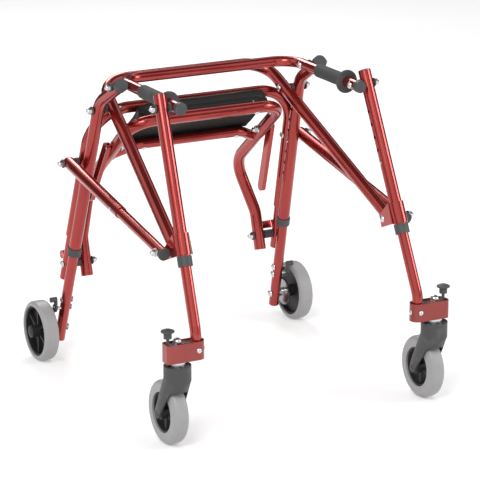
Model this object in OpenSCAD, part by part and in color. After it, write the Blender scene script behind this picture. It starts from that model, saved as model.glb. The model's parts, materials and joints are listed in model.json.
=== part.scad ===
/* [Wheels] */
// Outer diameter of all four wheels
wheel_d = 127; // [120:1:130]
// Width of the grey tyres
tyre_w = 32; // [28:1:33]
// Distance that each caster wheel trails behind its stem
caster_trail = 40; // [36:1:42]

/* [Tubes] */
// Outer diameter of the frame tubes
tube_d = 25.4; // [25:0.1:25.8]
// Outer diameter of the tubes that slide inside the frame tubes
slide_d = 22; // [21.6:0.1:22]
// Wall of every tube
tube_wall = 1.4; // [1.2:0.1:1.4]
// Outer diameter of the hoop behind the rear legs
hoop_d = 24; // [23.6:0.1:24.4]
// Distance between two height holes
hole_pitch = 26.4; // [25.4:0.1:27]

/* [Side frames] */
// Height of the handle bar's middle line
handle_z = 630; // [627:1:633]
// Half the distance between the two handle arms
handle_x = 199.5; // [198.5:0.1:200.5]
// Rear axle, measured back from the origin
axle_y = 290; // [284:1:296]
// Half the distance between the rear legs at the axle
rear_foot_x = 257; // [256:0.5:259]
// Lean of the rear legs seen from the side, in degrees
rear_lean = 16.7; // [16.4:0.1:17]
// Splay of the rear legs seen from the front, in degrees
rear_splay = 2.9; // [2.8:0.1:3]
// Lean of the front legs seen from the side, in degrees
front_lean = 23.8; // [23.6:0.1:24]
// Splay of the front legs seen from the front, in degrees
front_splay = 2.6; // [2.5:0.1:2.7]
// Pivot of the front legs on the handle, measured from the origin
front_pivot_y = -149.7; // [-152:0.1:-147]
// Half the distance between the front legs at the handle
front_top_x = 229.5; // [229:0.5:231]

/* [Handle] */
// Middle line of the handle's cross bar, measured back from the origin
cross_bar_y = 113; // [110:1:116]
// Outer diameter of the handle bar
handle_d = 22.2; // [21.8:0.1:22.4]
// Bend radius of the handle bar
handle_bend_r = 48; // [46:1:50]
// Diameter of the hand grips
grip_d = 28; // [27:0.5:30]
// Diameter of the stop flange on each grip
flange_d = 48; // [44:1:50]

/* [Brace] */
// Height of the pivot between the brace hoop and the rear legs
brace_pivot_z = 565; // [560:1:570]
// Pivot between the brace hoop and the front legs, along Y
strap_pivot_y = -227; // [-230:1:-224]
// Height of the pivot between the brace hoop and the front legs
strap_pivot_z = 367; // [364:1:370]
// Height of the side brace's pivot on the hoop behind the rear legs
side_brace_z = 445; // [440:1:450]

/* [Casters] */
// Caster stem, measured from the origin
stem_y = -326.5; // [-328:0.5:-323]
// Half the distance between the caster stems
stem_x = 287.5; // [286.5:0.5:288.5]
// Diameter of the caster fork's round head
head_d = 54; // [53:1:56]

/* [Seat] */
// Height of the seat's pivot bolts
seat_pivot_z = 207; // [205:1:209]
// Half the distance between the seat's stems at their pivots
seat_x = 206.5; // [205.5:0.5:207.5]
// Half the distance between the seat's arms
arm_x = 173; // [172:0.5:174]
// Width of the cushion
pad_w = 292; // [284:1:296]
// Depth of the cushion
pad_depth = 136; // [132:1:140]
// Thickness of the cushion at its crown
pad_thick = 21; // [18:1:22]
// Turn that takes the seat from its stowed place to level, in degrees
seat_drop = 38.5; // [38:0.5:39]

/* [Hidden] */
$fn = 64;

// Running fit on a pin, gap between moving faces, gap between faces that only meet
pin_fit = 0.06;
gap = 0.3;
seat_gap = 0.1;
// Press fit that only just clears, and room under heads on tubes that slant across a bolt
press = 0.02;
leg_seat = 0.6;
brace_seat = 1.3;
// How far a bend runs on inside the straight next to it, and how much thinner it is there
lap = 0.6;
lap_step = 0.05;
// How far a cut runs past the face it opens
past = 1;

wheel_r = wheel_d / 2;
tube_r = tube_d / 2;
bore_r = tube_r - tube_wall;
slide_r = slide_d / 2;
slide_bore_r = slide_r - tube_wall;
hoop_r = hoop_d / 2;
handle_r = handle_d / 2;
hoop_bore_r = hoop_r - tube_wall;
post_fit = 0.95;
post_r = hoop_bore_r - post_fit;
bolt_r = 4;
bolt_hole_r = bolt_r + pin_fit;
nut_h = 6;
nut_r = 7.2;
dome_r = 5.6;
nut_dome = 0.9;
root_part = 0.4;
head_r = 7.4;
head_h = 4.5;
washer_r = 9;
washer_h = 2.5;

// Points on the middle lines of the legs, for the right side
function rear_at(z) = [
    rear_foot_x - (z - wheel_r) * tan(rear_splay),
    axle_y - (z - wheel_r) * tan(rear_lean),
    z
];
function front_at(z) = [
    front_top_x + (handle_z - z) * tan(front_splay),
    front_pivot_y - (handle_z - z) * tan(front_lean),
    z
];
function unit(v) = v / norm(v);
function flip_x(p) = [-p[0], p[1], p[2]];
rear_up = unit([-tan(rear_splay), -tan(rear_lean), 1]);
front_up = unit([-tan(front_splay), tan(front_lean), 1]);

// The hoop's legs run behind the rear legs and touch them
hoop_back = (tube_r + hoop_r + seat_gap) / sqrt(1 - rear_up[1] * rear_up[1]);
function hoop_at(z) = rear_at(z) + [0, hoop_back, 0];
hoop_top_z = 556;
hoop_low_z = 275;
hoop_bend_r = 85;

// Rear legs
rear_tube_low_z = 238;
rear_collar_z = 236;
rear_collar_len = 17;
rear_tip = [226.5, 40, handle_z + 6];
rear_corner_z = 582;
rear_bend_r = 65;
rear_button_z = 437;
rear_slide_top_z = 460;
rear_slide_low_z = 36;
rear_holes = [-3, -2, -1, 0, 1, 2, 3];
cap_len = 12;
cap_wall = 1.4;
cap_end = 2;
collar_wall = 1.9;

// Handle
handle_pivot_y = 58;
handle_tip_y = -172;
grip_back_y = -5;
grip_front_y = -115;
flange_h = 6;
plug_len = 10;

// Brace hoop
brace_x = 198;
brace_inset = 1.5;
brace_low_x = front_at(strap_pivot_z)[0] - brace_inset;
brace_pivot = [brace_x, rear_at(brace_pivot_z)[1], brace_pivot_z];
brace_low = [brace_low_x, strap_pivot_y, strap_pivot_z];
brace_dir = unit(brace_pivot - brace_low);
brace_past = 86;
brace_tip = 8;
brace_corner = brace_pivot + brace_dir * brace_past;
brace_bend_r = 58;

// Front legs
front_top_z = 654;
front_tube_low_z = 351;
front_collar_z = 346;
front_collar_len = 20;
front_button_z = 480;
front_slide_top_z = 500;
front_holes = [0, 1, 2, 3, 4];
front_bend_r = 50;
strap_top_z = 405;
strap_low_z = 366;
strap_t = 3;
ear_gap = 2.2;
brace_end_gap = 1.8;
ear_back = 9;
ear_rise = 9;
ear_fall = 16;
button_r = 3.2;
button_out = 2;
button_dome = 1.5;
button_back = 2;
leaf_w = 5;
leaf_t = 0.6;
leaf_len = 16;
screw_r = 2.5;
small_head_r = 5;
small_head_h = 2.5;

// Side braces
side_brace_x = brace_low_x + tube_r + ear_gap + strap_t + brace_end_gap + slide_r;
side_back = [side_brace_x, hoop_at(side_brace_z)[1], side_brace_z];
side_front = [side_brace_x, strap_pivot_y, strap_pivot_z];
side_dir = unit(side_front - side_back);
side_outer_len = 252;
side_insert = 75;
side_button_back = 26;
side_plug_len = 5;

// Caster brackets
leg_x = front_at(handle_z - (front_pivot_y - stem_y) / tan(front_lean))[0];
leg_bend_z = handle_z - (front_pivot_y - stem_y) / tan(front_lean);
band_low_z = 178;
band_h = 37;
band_r = 16;
band_t = 2.5;
knob_x = stem_x + 20;
band_end_x = knob_x + 7;
block_low_z = 181;
block_h = 31;
stem_r = 6;
fork_top_z = 170;
fork_head_r = head_d / 2;
fork_low_z = 118;
fork_bend_z = 143;
fork_lean = atan(caster_trail / (fork_bend_z - wheel_r));
fork_leg_in = tyre_w / 2 + 4;
wheel_room = 3.5;
lock_r = 3;
lock_travel = 10;
lock_hole = 14;
lock_clear = 1.5;
nut_room_r = 11;
nut_room = 0.5;

// Wheels
rim_r = wheel_r - 23;
rear_rim_r = wheel_r - 10;
rim_t = 4;
caster_round_r = 10;
rear_round_r = 7;
rim_w = 24;
rib_w = 5;
rib_h = 3;
axle_r = 5;
rear_wheel_x = 304;
ratchet_teeth = 24;
ratchet_r = 30;
ratchet_root_r = 26.5;
ratchet_t = 4;
ratchet_turn = -7.5;
ratchet_in_x = 276;
pawl_z = 112;
guard_z = 130;
pawl_t = 4;
hub_gap = 0.6;
hub_out = tyre_w / 2 + 8;
hub_dome = 3;
axle_head_r = 8;
caster_head_r = 6;
caster_head_h = 2.5;

// Seat, stowed upright: stems lean back, kink inwards, then the arms rise to the front rail
seat_post_low_z = 174;
seat_post_top_z = 332;
seat_pivot = [seat_x, hoop_at(seat_pivot_z)[1], seat_pivot_z];
seat_stem_lean = 16;
seat_stem_len = 52;
seat_tail = 31;
seat_stem_dir = [0, sin(seat_stem_lean), cos(seat_stem_lean)];
seat_kink = seat_pivot + seat_stem_dir * seat_stem_len;
seat_knee = [arm_x, seat_pivot[1] + 43, seat_pivot[2] + 162];
seat_arm_len = 275;
seat_arm_dir = [0, -cos(seat_drop), sin(seat_drop)];
seat_up_dir = [0, sin(seat_drop), cos(seat_drop)];
seat_corner = seat_knee + seat_arm_dir * seat_arm_len;
seat_kink_r = 60;
seat_bend_r = 58;
seat_corner_r = 50;
rail_r = 11;
rail_down = 118;
rail_end = 158;
rail_end_x = arm_x - 1;
rail_up = tube_r - rail_r - gap;
rail_bend_x = 122;
rail_bend_r = 40;
board_t = 6;
board_inset = 6;
screw_x = 108;
pad_front = -8;
stay_down = 115;
stay_len = 154;
stay_above = 14;
stay_w = 20;
stay_depth = 9;
stay_t = 2;
stay_gap = 1.6;
stay_in_x = arm_x + tube_r + stay_gap;
stay_lean_right = 15.7;
stay_lean_left = 33;
stop_up = 22;
stop_half = 8;
stop_t = 3;
stub_r = 8.5;
stub_back = 2;
stub_past = 4;
seat_head_r = 5.5;
seat_head_h = 3;
stay_head_h = 3;

// Turns +Z onto a direction
module align(v) {
    rotate([0, acos(v[2] / norm(v)), atan2(v[1], v[0])]) children();
}

// Draws its children on both sides
module both() {
    children();
    mirror([1, 0, 0]) children();
}

// Draws its children on the right side, or mirrored on the left
module on_side(right) {
    if (right) children();
    else mirror([1, 0, 0]) children();
}

// Round bar between two points
module bar(a, b, r) {
    translate(a) align(b - a) cylinder(r = r, h = norm(b - a));
}

// Round bar along X from x0 to x1 at a point in the side view
module cross_pin(x0, x1, y, z, r) {
    translate([x0, y, z]) rotate([0, 90, 0]) cylinder(r = r, h = x1 - x0);
}

// Straight tube between two points
module pipe(a, b, ro, ri) {
    translate(a) align(b - a) linear_extrude(norm(b - a)) ring(ro, ri);
}

module ring(ro, ri) {
    difference() {
        circle(ro);
        circle(ri);
    }
}

// Half angle formula for the length that a bend takes from each straight
function turn_of(a, b, c) = acos(unit(b - a) * unit(c - b));
function bend_len(a, b, c, r) = r * tan(turn_of(a, b, c) / 2);

// Tube bend at b on the way from a to c
module elbow(a, b, c, r, ro, ri) {
    u = unit(b - a);
    n = unit(cross(u, unit(c - b)));
    m = cross(n, u);
    centre = b - u * bend_len(a, b, c, r) + m * r;
    th = acos(n[2]);
    ph = atan2(n[1], n[0]);
    e1 = [cos(ph) * cos(th), sin(ph) * cos(th), -sin(th)];
    e2 = [-sin(ph), cos(ph), 0];
    over = lap / r * 180 / PI;
    translate(centre) align(n) rotate([0, 0, atan2(-m * e2, -m * e1) - over])
        rotate_extrude(angle = turn_of(a, b, c) + 2 * over)
            translate([r, 0]) ring(ro - lap_step, ri + lap_step);
}

// Bent tube along a list of points, with one radius for each inner point
module bent_tube(pts, radii, ro, ri) {
    last = len(pts) - 1;
    cut = [for (i = [0 : last]) (i == 0 || i == last) ? 0
        : bend_len(pts[i - 1], pts[i], pts[i + 1], radii[i - 1])];
    for (i = [0 : last - 1]) {
        d = unit(pts[i + 1] - pts[i]);
        pipe(pts[i] + d * cut[i], pts[i + 1] - d * cut[i + 1], ro, ri);
    }
    for (i = [1 : last - 1])
        elbow(pts[i - 1], pts[i], pts[i + 1], radii[i - 1], ro, ri);
}

// Rounded bolt head that stands on z = 0, with a root that runs on into its shank
module dome_head(r, h) {
    big = (r * r + h * h) / (2 * h);
    rotate_extrude() {
        intersection() {
            translate([0, h - big]) circle(big);
            square([r, h]);
        }
        translate([0, -lap]) square([r * root_part, lap + h / 2]);
    }
}

// Six-sided nut with a dome, standing on z = 0
module cap_nut() {
    cylinder(r = nut_r, h = nut_h, $fn = 6);
    translate([0, 0, nut_h]) dome_head(dome_r, dome_r * nut_dome);
}

module washer(r, h) {
    linear_extrude(h) ring(r, bolt_hole_r);
}

// Pivot bolt along X: head at x0 pointing inwards, washer room and nut outside x1
module pivot_bolt(x0, x1, y, z) {
    union() {
        translate([x0, y, z]) rotate([0, -90, 0]) dome_head(head_r, head_h);
        cross_pin(x0 - lap, x1 + washer_h + lap, y, z, bolt_r);
        translate([x1 + washer_h, y, z]) rotate([0, 90, 0]) cap_nut();
    }
}

// Washer or spacer ring along X from x0 to x1
module spacer(x0, x1, y, z, r) {
    translate([x0, y, z]) rotate([0, 90, 0]) washer(r, x1 - x0);
}

// Washer under a pivot bolt's nut
module nut_washer(x0, y, z) {
    spacer(x0, x0 + washer_h - seat_gap, y, z, washer_r);
}

// Row of height holes through the inner wall of a leg
module height_holes(at, up, counts) {
    for (k = counts) {
        p = at + up * (k * hole_pitch);
        cross_pin(p[0] - tube_d, p[0], p[1], p[2], button_r + gap);
    }
}

module red() {
    color([0.62, 0.12, 0.12]) children();
}
module black() {
    color([0.2, 0.2, 0.2]) children();
}
module grey() {
    color([0.62, 0.62, 0.62]) children();
}
module silver() {
    color([0.8, 0.8, 0.8]) children();
}

// Rear frame

module rear_upper_leg() {
    corner = rear_at(rear_corner_z);
    pivot = rear_at(brace_pivot_z);
    difference() {
        bent_tube([rear_at(rear_tube_low_z), corner, rear_tip], [rear_bend_r], tube_r, bore_r);
        cross_pin(0, rear_foot_x * 2, pivot[1], pivot[2], bolt_hole_r);
        cross_pin(0, rear_foot_x * 2, handle_pivot_y, handle_z, bolt_hole_r);
        height_holes(rear_at(rear_button_z), rear_up, rear_holes);
    }
}

module rear_upper_legs() {
    red() both() rear_upper_leg();
}

// Sleeve cap whose closed end points along dir
module end_cap(tip, dir, tube_or, len) {
    translate(tip) align(dir) difference() {
        translate([0, 0, cap_wall + cap_end - len]) cylinder(r = tube_or + cap_wall, h = len);
        translate([0, 0, -len]) cylinder(r = tube_or + press, h = len + seat_gap);
    }
}

// Collar over the end of an outer tube, with a bore for the sliding tube
module collar(low, up, tube_end, len) {
    difference() {
        bar(low, low + up * len, tube_r + collar_wall);
        bar(low - up * past, low + up * (len + past), slide_r + gap);
        bar(tube_end - up * seat_gap, low + up * (len + past), tube_r + press);
    }
}

module rear_leg_caps() {
    black() both() {
        end_cap(rear_tip, rear_tip - rear_at(rear_corner_z), tube_r, cap_len);
        collar(rear_at(rear_collar_z), rear_up, rear_at(rear_tube_low_z), rear_collar_len);
    }
}

module back_hoop() {
    top = hoop_at(hoop_top_z);
    side = hoop_at(side_brace_z);
    red() difference() {
        bent_tube(
            [hoop_at(hoop_low_z), top, flip_x(top), flip_x(hoop_at(hoop_low_z))],
            [hoop_bend_r, hoop_bend_r], hoop_r, hoop_bore_r);
        cross_pin(-rear_foot_x * 2, rear_foot_x * 2, side[1], side[2], bolt_hole_r);
    }
}

// Where the rear leg's middle line stands at the handle pivot
rear_tip_dir = unit(rear_tip - rear_at(rear_corner_z));
rear_pivot_x = rear_tip[0] + rear_tip_dir[0] / rear_tip_dir[1] * (handle_pivot_y - rear_tip[1]);

module rear_pivot_bolts() {
    brace = rear_at(brace_pivot_z);
    silver() both() {
        pivot_bolt(handle_x - handle_r - gap, rear_pivot_x + tube_r + leg_seat, handle_pivot_y, handle_z);
        pivot_bolt(brace_x - tube_r - brace_seat, brace[0] + tube_r + leg_seat, brace[1], brace[2]);
        pivot_bolt(hoop_at(side_brace_z)[0] - hoop_r - leg_seat, side_brace_x + tube_r + gap,
            side_back[1], side_back[2]);
    }
}

module rear_pivot_spacers() {
    brace = rear_at(brace_pivot_z);
    side = hoop_at(side_brace_z);
    black() both() {
        spacer(handle_x + handle_r + gap, rear_pivot_x - tube_r - leg_seat,
            handle_pivot_y, handle_z, washer_r);
        nut_washer(rear_pivot_x + tube_r + leg_seat, handle_pivot_y, handle_z);
        spacer(brace_x + tube_r + brace_seat, brace[0] - tube_r - leg_seat, brace[1], brace[2], head_r);
        nut_washer(brace[0] + tube_r + leg_seat, brace[1], brace[2]);
        spacer(side[0] + hoop_r + leg_seat, side_brace_x - tube_r - gap,
            side_back[1], side_back[2], washer_r);
        nut_washer(side_brace_x + tube_r + gap, side_back[1], side_back[2]);
    }
}

// Handle

module handle_bar() {
    back = [handle_x, cross_bar_y, handle_z];
    tip = [handle_x, handle_tip_y, handle_z];
    red() difference() {
        bent_tube([tip, back, flip_x(back), flip_x(tip)],
            [handle_bend_r, handle_bend_r], handle_r, handle_r - tube_wall);
        for (y = [handle_pivot_y, front_pivot_y])
            cross_pin(-rear_foot_x, rear_foot_x, y, handle_z, bolt_hole_r);
    }
}

module handle_grip() {
    round_r = 2.5;
    len = grip_back_y - grip_front_y;
    translate([handle_x, grip_back_y, handle_z]) rotate([90, 0, 0]) rotate_extrude() difference() {
        union() {
            translate([0, round_r]) square([grip_d / 2, len - round_r]);
            square([grip_d / 2 - round_r, len]);
            translate([grip_d / 2 - round_r, round_r]) circle(round_r);
            translate([0, len]) square([flange_d / 2 - flange_h / 2, flange_h]);
            translate([flange_d / 2 - flange_h / 2, len + flange_h / 2]) circle(flange_h / 2);
        }
        translate([-past, -past]) square([handle_r + past + press, len + flange_h + 2 * past]);
        translate([-flange_d, -past]) square([flange_d, len + flange_h + 2 * past]);
    }
}

module handle_grips() {
    black() both() handle_grip();
}

module handle_plugs() {
    black() both()
        end_cap([handle_x, handle_tip_y, handle_z], [0, -1, 0], handle_r, plug_len);
}

// Brace hoop

module brace_hoop() {
    low = brace_low - brace_dir * brace_tip;
    red() difference() {
        bent_tube([low, brace_corner, flip_x(brace_corner), flip_x(low)],
            [brace_bend_r, brace_bend_r], tube_r, bore_r);
        cross_pin(-rear_foot_x, rear_foot_x, brace_pivot[1], brace_pivot[2], bolt_hole_r);
        cross_pin(-rear_foot_x * 2, rear_foot_x * 2, strap_pivot_y, strap_pivot_z, bolt_hole_r);
    }
}

module brace_end_pins() {
    silver() both()
        cross_pin(brace_low_x - tube_r, brace_low_x + tube_r, strap_pivot_y, strap_pivot_z, bolt_r);
}

// Front legs

module front_upper_leg() {
    difference() {
        pipe(front_at(front_tube_low_z), front_at(front_top_z), tube_r, bore_r);
        cross_pin(0, rear_foot_x * 2, front_pivot_y, handle_z, bolt_hole_r);
        height_holes(front_at(front_button_z), front_up, front_holes);
    }
}

module front_upper_legs() {
    red() both() front_upper_leg();
}

// Outline of a strap's ear in the side view: its back edge runs along the leg
module ear_outline() {
    top = front_at(strap_top_z);
    low = front_at(strap_low_z);
    up = unit([front_up[1], front_up[2]]);
    back = [strap_pivot_y, strap_pivot_z] + [up[1], -up[0]] * ear_back;
    polygon([[top[1], top[2]], back + up * ear_rise, back - up * ear_fall, [low[1], low[2]]]);
}

// Plate with its outline in the side view, from x0 outwards
module side_plate(x0, t) {
    translate([x0, 0, 0]) rotate([90, 0, 90]) linear_extrude(t) children();
}

module leg_strap() {
    low = front_at(strap_low_z);
    top = front_at(strap_top_z);
    ear_in = brace_low_x - tube_r - ear_gap;
    ear_out = brace_low_x + tube_r + ear_gap;
    difference() {
        union() {
            bar(low, top, tube_r + strap_t);
            side_plate(ear_in - strap_t, strap_t) ear_outline();
            side_plate(ear_out, strap_t) ear_outline();
        }
        bar(low - front_up * tube_d, top + front_up * tube_d, tube_r + press);
        cross_pin(0, rear_foot_x * 2, strap_pivot_y, strap_pivot_z, bolt_hole_r);
    }
}

module leg_straps() {
    red() both() leg_strap();
}

module front_leg_collars() {
    black() both()
        collar(front_at(front_collar_z), front_up, front_at(front_tube_low_z), front_collar_len);
}

module front_pivot_bolts() {
    ear_in = brace_low_x - tube_r - ear_gap - strap_t;
    ear_out = brace_low_x + tube_r + ear_gap;
    silver() both() {
        pivot_bolt(handle_x - handle_r - gap, front_top_x + tube_r + leg_seat, front_pivot_y, handle_z);
        translate([ear_in, strap_pivot_y, strap_pivot_z]) rotate([0, -90, 0]) dome_head(head_r, head_h);
        cross_pin(ear_in - lap, ear_in + strap_t, strap_pivot_y, strap_pivot_z, bolt_r);
        cross_pin(ear_out, ear_out + strap_t, strap_pivot_y, strap_pivot_z, bolt_r);
    }
}

module front_pivot_spacers() {
    black() both() {
        spacer(handle_x + handle_r + gap, front_top_x - tube_r - leg_seat, front_pivot_y, handle_z, washer_r);
        nut_washer(front_top_x + tube_r + leg_seat, front_pivot_y, handle_z);
    }
}

// Side braces

side_button = side_back + side_dir * (side_outer_len - side_button_back);

// Tube with a rounded, closed rear end, drawn as half a profile and turned
module side_brace_tube() {
    difference() {
        translate(side_back) align(side_dir) rotate_extrude() {
            translate([bore_r, 0]) square([tube_wall, side_outer_len]);
            difference() {
                circle(tube_r);
                circle(bore_r);
                translate([-tube_d, -tube_d]) square([tube_d, tube_d * 2]);
                translate([0, seat_gap]) square([tube_d, tube_d]);
            }
        }
        cross_pin(0, rear_foot_x * 2, side_back[1], side_back[2], bolt_hole_r);
        cross_pin(side_brace_x, side_brace_x + tube_d, side_button[1], side_button[2], button_r + gap);
    }
}

module side_brace_outer() {
    red() both() side_brace_tube();
}

module side_brace_rod() {
    back = side_back + side_dir * (side_outer_len - side_insert);
    difference() {
        pipe(back, side_front + side_dir * slide_r, slide_r, slide_bore_r);
        cross_pin(0, rear_foot_x * 2, strap_pivot_y, strap_pivot_z, bolt_hole_r);
        cross_pin(side_brace_x, side_brace_x + tube_d, side_button[1], side_button[2], button_r + gap);
    }
}

module side_brace_inner() {
    red() both() side_brace_rod();
}

module side_brace_plugs() {
    black() both() end_cap(side_front + side_dir * slide_r, side_dir, slide_r, side_plug_len);
}

module side_brace_nuts() {
    x0 = side_brace_x + slide_r + seat_gap;
    silver() both() union() {
        cross_pin(side_brace_x - slide_r, x0 + washer_h + lap, strap_pivot_y, strap_pivot_z, bolt_r);
        cross_pin(x0, x0 + washer_h, strap_pivot_y, strap_pivot_z, washer_r);
        translate([x0 + washer_h, strap_pivot_y, strap_pivot_z]) rotate([0, 90, 0]) cap_nut();
    }
}

// Front lower legs and caster brackets

module front_lower_leg() {
    vertex = [leg_x, stem_y, leg_bend_z];
    foot = [leg_x, stem_y, block_low_z];
    p = front_at(front_button_z);
    difference() {
        bent_tube([front_at(front_slide_top_z), vertex, foot], [front_bend_r], slide_r, slide_bore_r);
        cross_pin(p[0] - tube_d, p[0], p[1], p[2], button_r + gap);
    }
}

// Outline of the caster band seen from above, drawn in by t
module band_outline(t) {
    corner_r = 8;
    translate([leg_x, stem_y]) circle(band_r - t);
    translate([leg_x, stem_y - band_r + t]) square([band_end_x - corner_r - leg_x, 2 * (band_r - t)]);
    translate([leg_x, stem_y - band_r + corner_r]) square([band_end_x - t - leg_x, 2 * (band_r - corner_r)]);
    for (s = [-1, 1])
        translate([band_end_x - corner_r, stem_y + s * (band_r - corner_r)]) circle(corner_r - t);
}

screw_z = band_low_z + band_h / 2;

module caster_strap() {
    difference() {
        translate([0, 0, band_low_z]) linear_extrude(band_h) difference() {
            band_outline(0);
            band_outline(band_t);
        }
        strap_screw_room(screw_r + pin_fit);
    }
}

// Shanks of the two screws that hold the band to the leg
module strap_screw_room(r) {
    h = band_t + 2 * past;
    translate([leg_x, stem_y - band_r - past, screw_z]) rotate([-90, 0, 0]) cylinder(r = r, h = h);
    translate([leg_x - band_r - past, stem_y, screw_z]) rotate([0, 90, 0]) cylinder(r = r, h = h);
}

module caster_block() {
    translate([0, 0, block_low_z]) linear_extrude(block_h) difference() {
        band_outline(band_t + seat_gap);
        translate([leg_x, stem_y]) circle(slide_r + press);
        translate([stem_x, stem_y]) circle(stem_r + press);
        translate([knob_x, stem_y]) circle(lock_r + pin_fit);
    }
}

stem_nut_z = fork_low_z + 26;
stem_nut_h = 7;
stem_nut_r = 9;
stem_cap_r = 9.5;
stem_cap_h = 8;
stem_dome_h = 5;
bearing_r = 13;
race_r = 16;

module caster_stem() {
    nut_z = block_low_z + block_h + seat_gap;
    union() {
        translate([stem_x, stem_y, stem_nut_z]) cylinder(r = stem_r, h = nut_z - stem_nut_z + lap);
        translate([stem_x, stem_y, stem_nut_z]) cylinder(r = stem_nut_r, h = stem_nut_h, $fn = 6);
        translate([stem_x, stem_y, nut_z]) cylinder(r = stem_cap_r, h = stem_cap_h, $fn = 6);
        translate([stem_x, stem_y, nut_z + stem_cap_h]) dome_head(stem_cap_r * cos(30), stem_dome_h);
    }
}

// Short screw from a head on z = 0 down to -len
module short_screw(len) {
    dome_head(small_head_r, small_head_h);
    translate([0, 0, -len]) cylinder(r = screw_r, h = len + lap);
}

module strap_screws() {
    translate([leg_x, stem_y - band_r, screw_z]) rotate([90, 0, 0]) short_screw(band_t - seat_gap);
    translate([leg_x - band_r, stem_y, screw_z]) rotate([0, -90, 0]) short_screw(band_t - seat_gap);
}

module caster_hardware() {
    caster_block();
    caster_stem();
    strap_screws();
    translate([stem_x, stem_y, fork_top_z + gap]) {
        linear_extrude(block_low_z - fork_top_z - gap - seat_gap) ring(bearing_r, stem_r + press);
        linear_extrude(band_low_z - fork_top_z - 2 * gap) ring(race_r, stem_r + press);
    }
}

// Fork in the side view: an arch in front, legs that end round about the axle
module fork_outline() {
    axle = stem_y + caster_trail;
    leg_r = 10;
    arch = 8;
    front = stem_y - 2 * fork_head_r;
    polygon([
        [front, fork_top_z],
        [front, fork_low_z],
        [stem_y - arch, fork_low_z],
        [axle - leg_r, wheel_r],
        [axle + leg_r, wheel_r],
        [axle + leg_r, fork_top_z]
    ]);
    translate([axle, wheel_r]) circle(leg_r);
}

// Block above or below the sloping plane where the fork bends back, running a lap past it
module fork_side(above) {
    big = 4 * fork_head_r;
    translate([stem_x, stem_y, fork_bend_z]) rotate([fork_lean / 2, 0, 0])
        translate([-big / 2, -big / 2, above ? -lap : lap - big]) cube(big);
}

// Round head with a round body that leans back from it to the axle
module fork_body() {
    bend = [stem_x, stem_y, fork_bend_z];
    axle = [stem_x, stem_y + caster_trail, wheel_r];
    down = unit(axle - bend);
    span = 2 * fork_head_r + 2 * past;
    intersection() {
        translate([stem_x, stem_y, fork_low_z]) cylinder(r = fork_head_r, h = fork_top_z - fork_low_z);
        fork_side(true);
    }
    intersection() {
        bar(bend - down * fork_head_r, axle + down * fork_head_r, fork_head_r - gap);
        fork_side(false);
        side_plate(stem_x - span / 2, span) fork_outline();
    }
}

module caster_fork() {
    axle = stem_y + caster_trail;
    nut_room_h = stem_nut_z + stem_nut_h + nut_room - fork_low_z;
    union() {
        difference() {
            fork_body();
            cross_pin(stem_x - fork_leg_in, stem_x + fork_leg_in, axle, wheel_r, wheel_r + wheel_room);
            translate([stem_x, stem_y, fork_low_z - past]) {
                cylinder(r = stem_r + pin_fit, h = fork_top_z);
                cylinder(r = nut_room_r, h = nut_room_h + past);
            }
            for (a = [0 : 90 : 270])
                translate([stem_x, stem_y, fork_top_z - lock_hole]) rotate([0, 0, a])
                    translate([knob_x - stem_x, 0, 0]) cylinder(r = lock_r + gap, h = lock_hole + past);
        }
        caster_axle();
    }
}

// Axle bolt held in the fork's legs
module caster_axle() {
    axle = stem_y + caster_trail;
    x1 = fork_head_r - lap;
    cross_pin(stem_x - x1, stem_x + x1, axle, wheel_r, axle_r);
    for (s = [-1, 1])
        translate([stem_x + s * x1, axle, wheel_r]) rotate([0, s * 90, 0])
            dome_head(caster_head_r, caster_head_h);
}

// Half profile of a tyre on a rim, drawn with the axle along Y of the sketch
module tyre_profile(rim, round_r) {
    inner = rim + press;
    difference() {
        union() {
            translate([inner, -tyre_w / 2 + round_r]) square([wheel_r - inner, tyre_w - 2 * round_r]);
            translate([inner, -tyre_w / 2]) square([wheel_r - inner - round_r, tyre_w]);
            for (s = [-1, 1])
                translate([wheel_r - round_r, s * (tyre_w / 2 - round_r)]) circle(round_r);
        }
        translate([0, -tyre_w]) square([inner, 2 * tyre_w]);
        translate([rim - past, -rib_w / 2]) square([rib_h + past, rib_w]);
    }
}

// Wheel centred at a place, axle along X
module wheel_at(x, y) {
    translate([x, y, wheel_r]) rotate([0, 90, 0]) children();
}

module tyre(x, y, rim, round_r) {
    wheel_at(x, y) rotate_extrude() tyre_profile(rim, round_r);
}

module rim_ring(rim) {
    rib = rib_w - 2 * seat_gap;
    rotate_extrude() {
        translate([rim - rim_t, -rim_w / 2]) square([rim_t, rim_w]);
        translate([rim - lap, -rib / 2]) square([lap + rib_h - seat_gap, rib]);
    }
}

module caster_rim() {
    spokes = 5;
    hub_r = 13;
    hub_len = 2 * (fork_leg_in - hub_gap);
    spoke_w = 8;
    spoke_h = 14;
    wheel_at(stem_x, stem_y + caster_trail) difference() {
        union() {
            rim_ring(rim_r);
            cylinder(r = hub_r, h = hub_len, center = true);
            for (i = [0 : spokes - 1]) rotate([0, 0, i * 360 / spokes])
                translate([0, -spoke_w / 2, -spoke_h / 2]) cube([rim_r - rim_t / 2, spoke_w, spoke_h]);
        }
        cylinder(r = axle_r + pin_fit, h = hub_len + 2 * past, center = true);
    }
}

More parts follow.
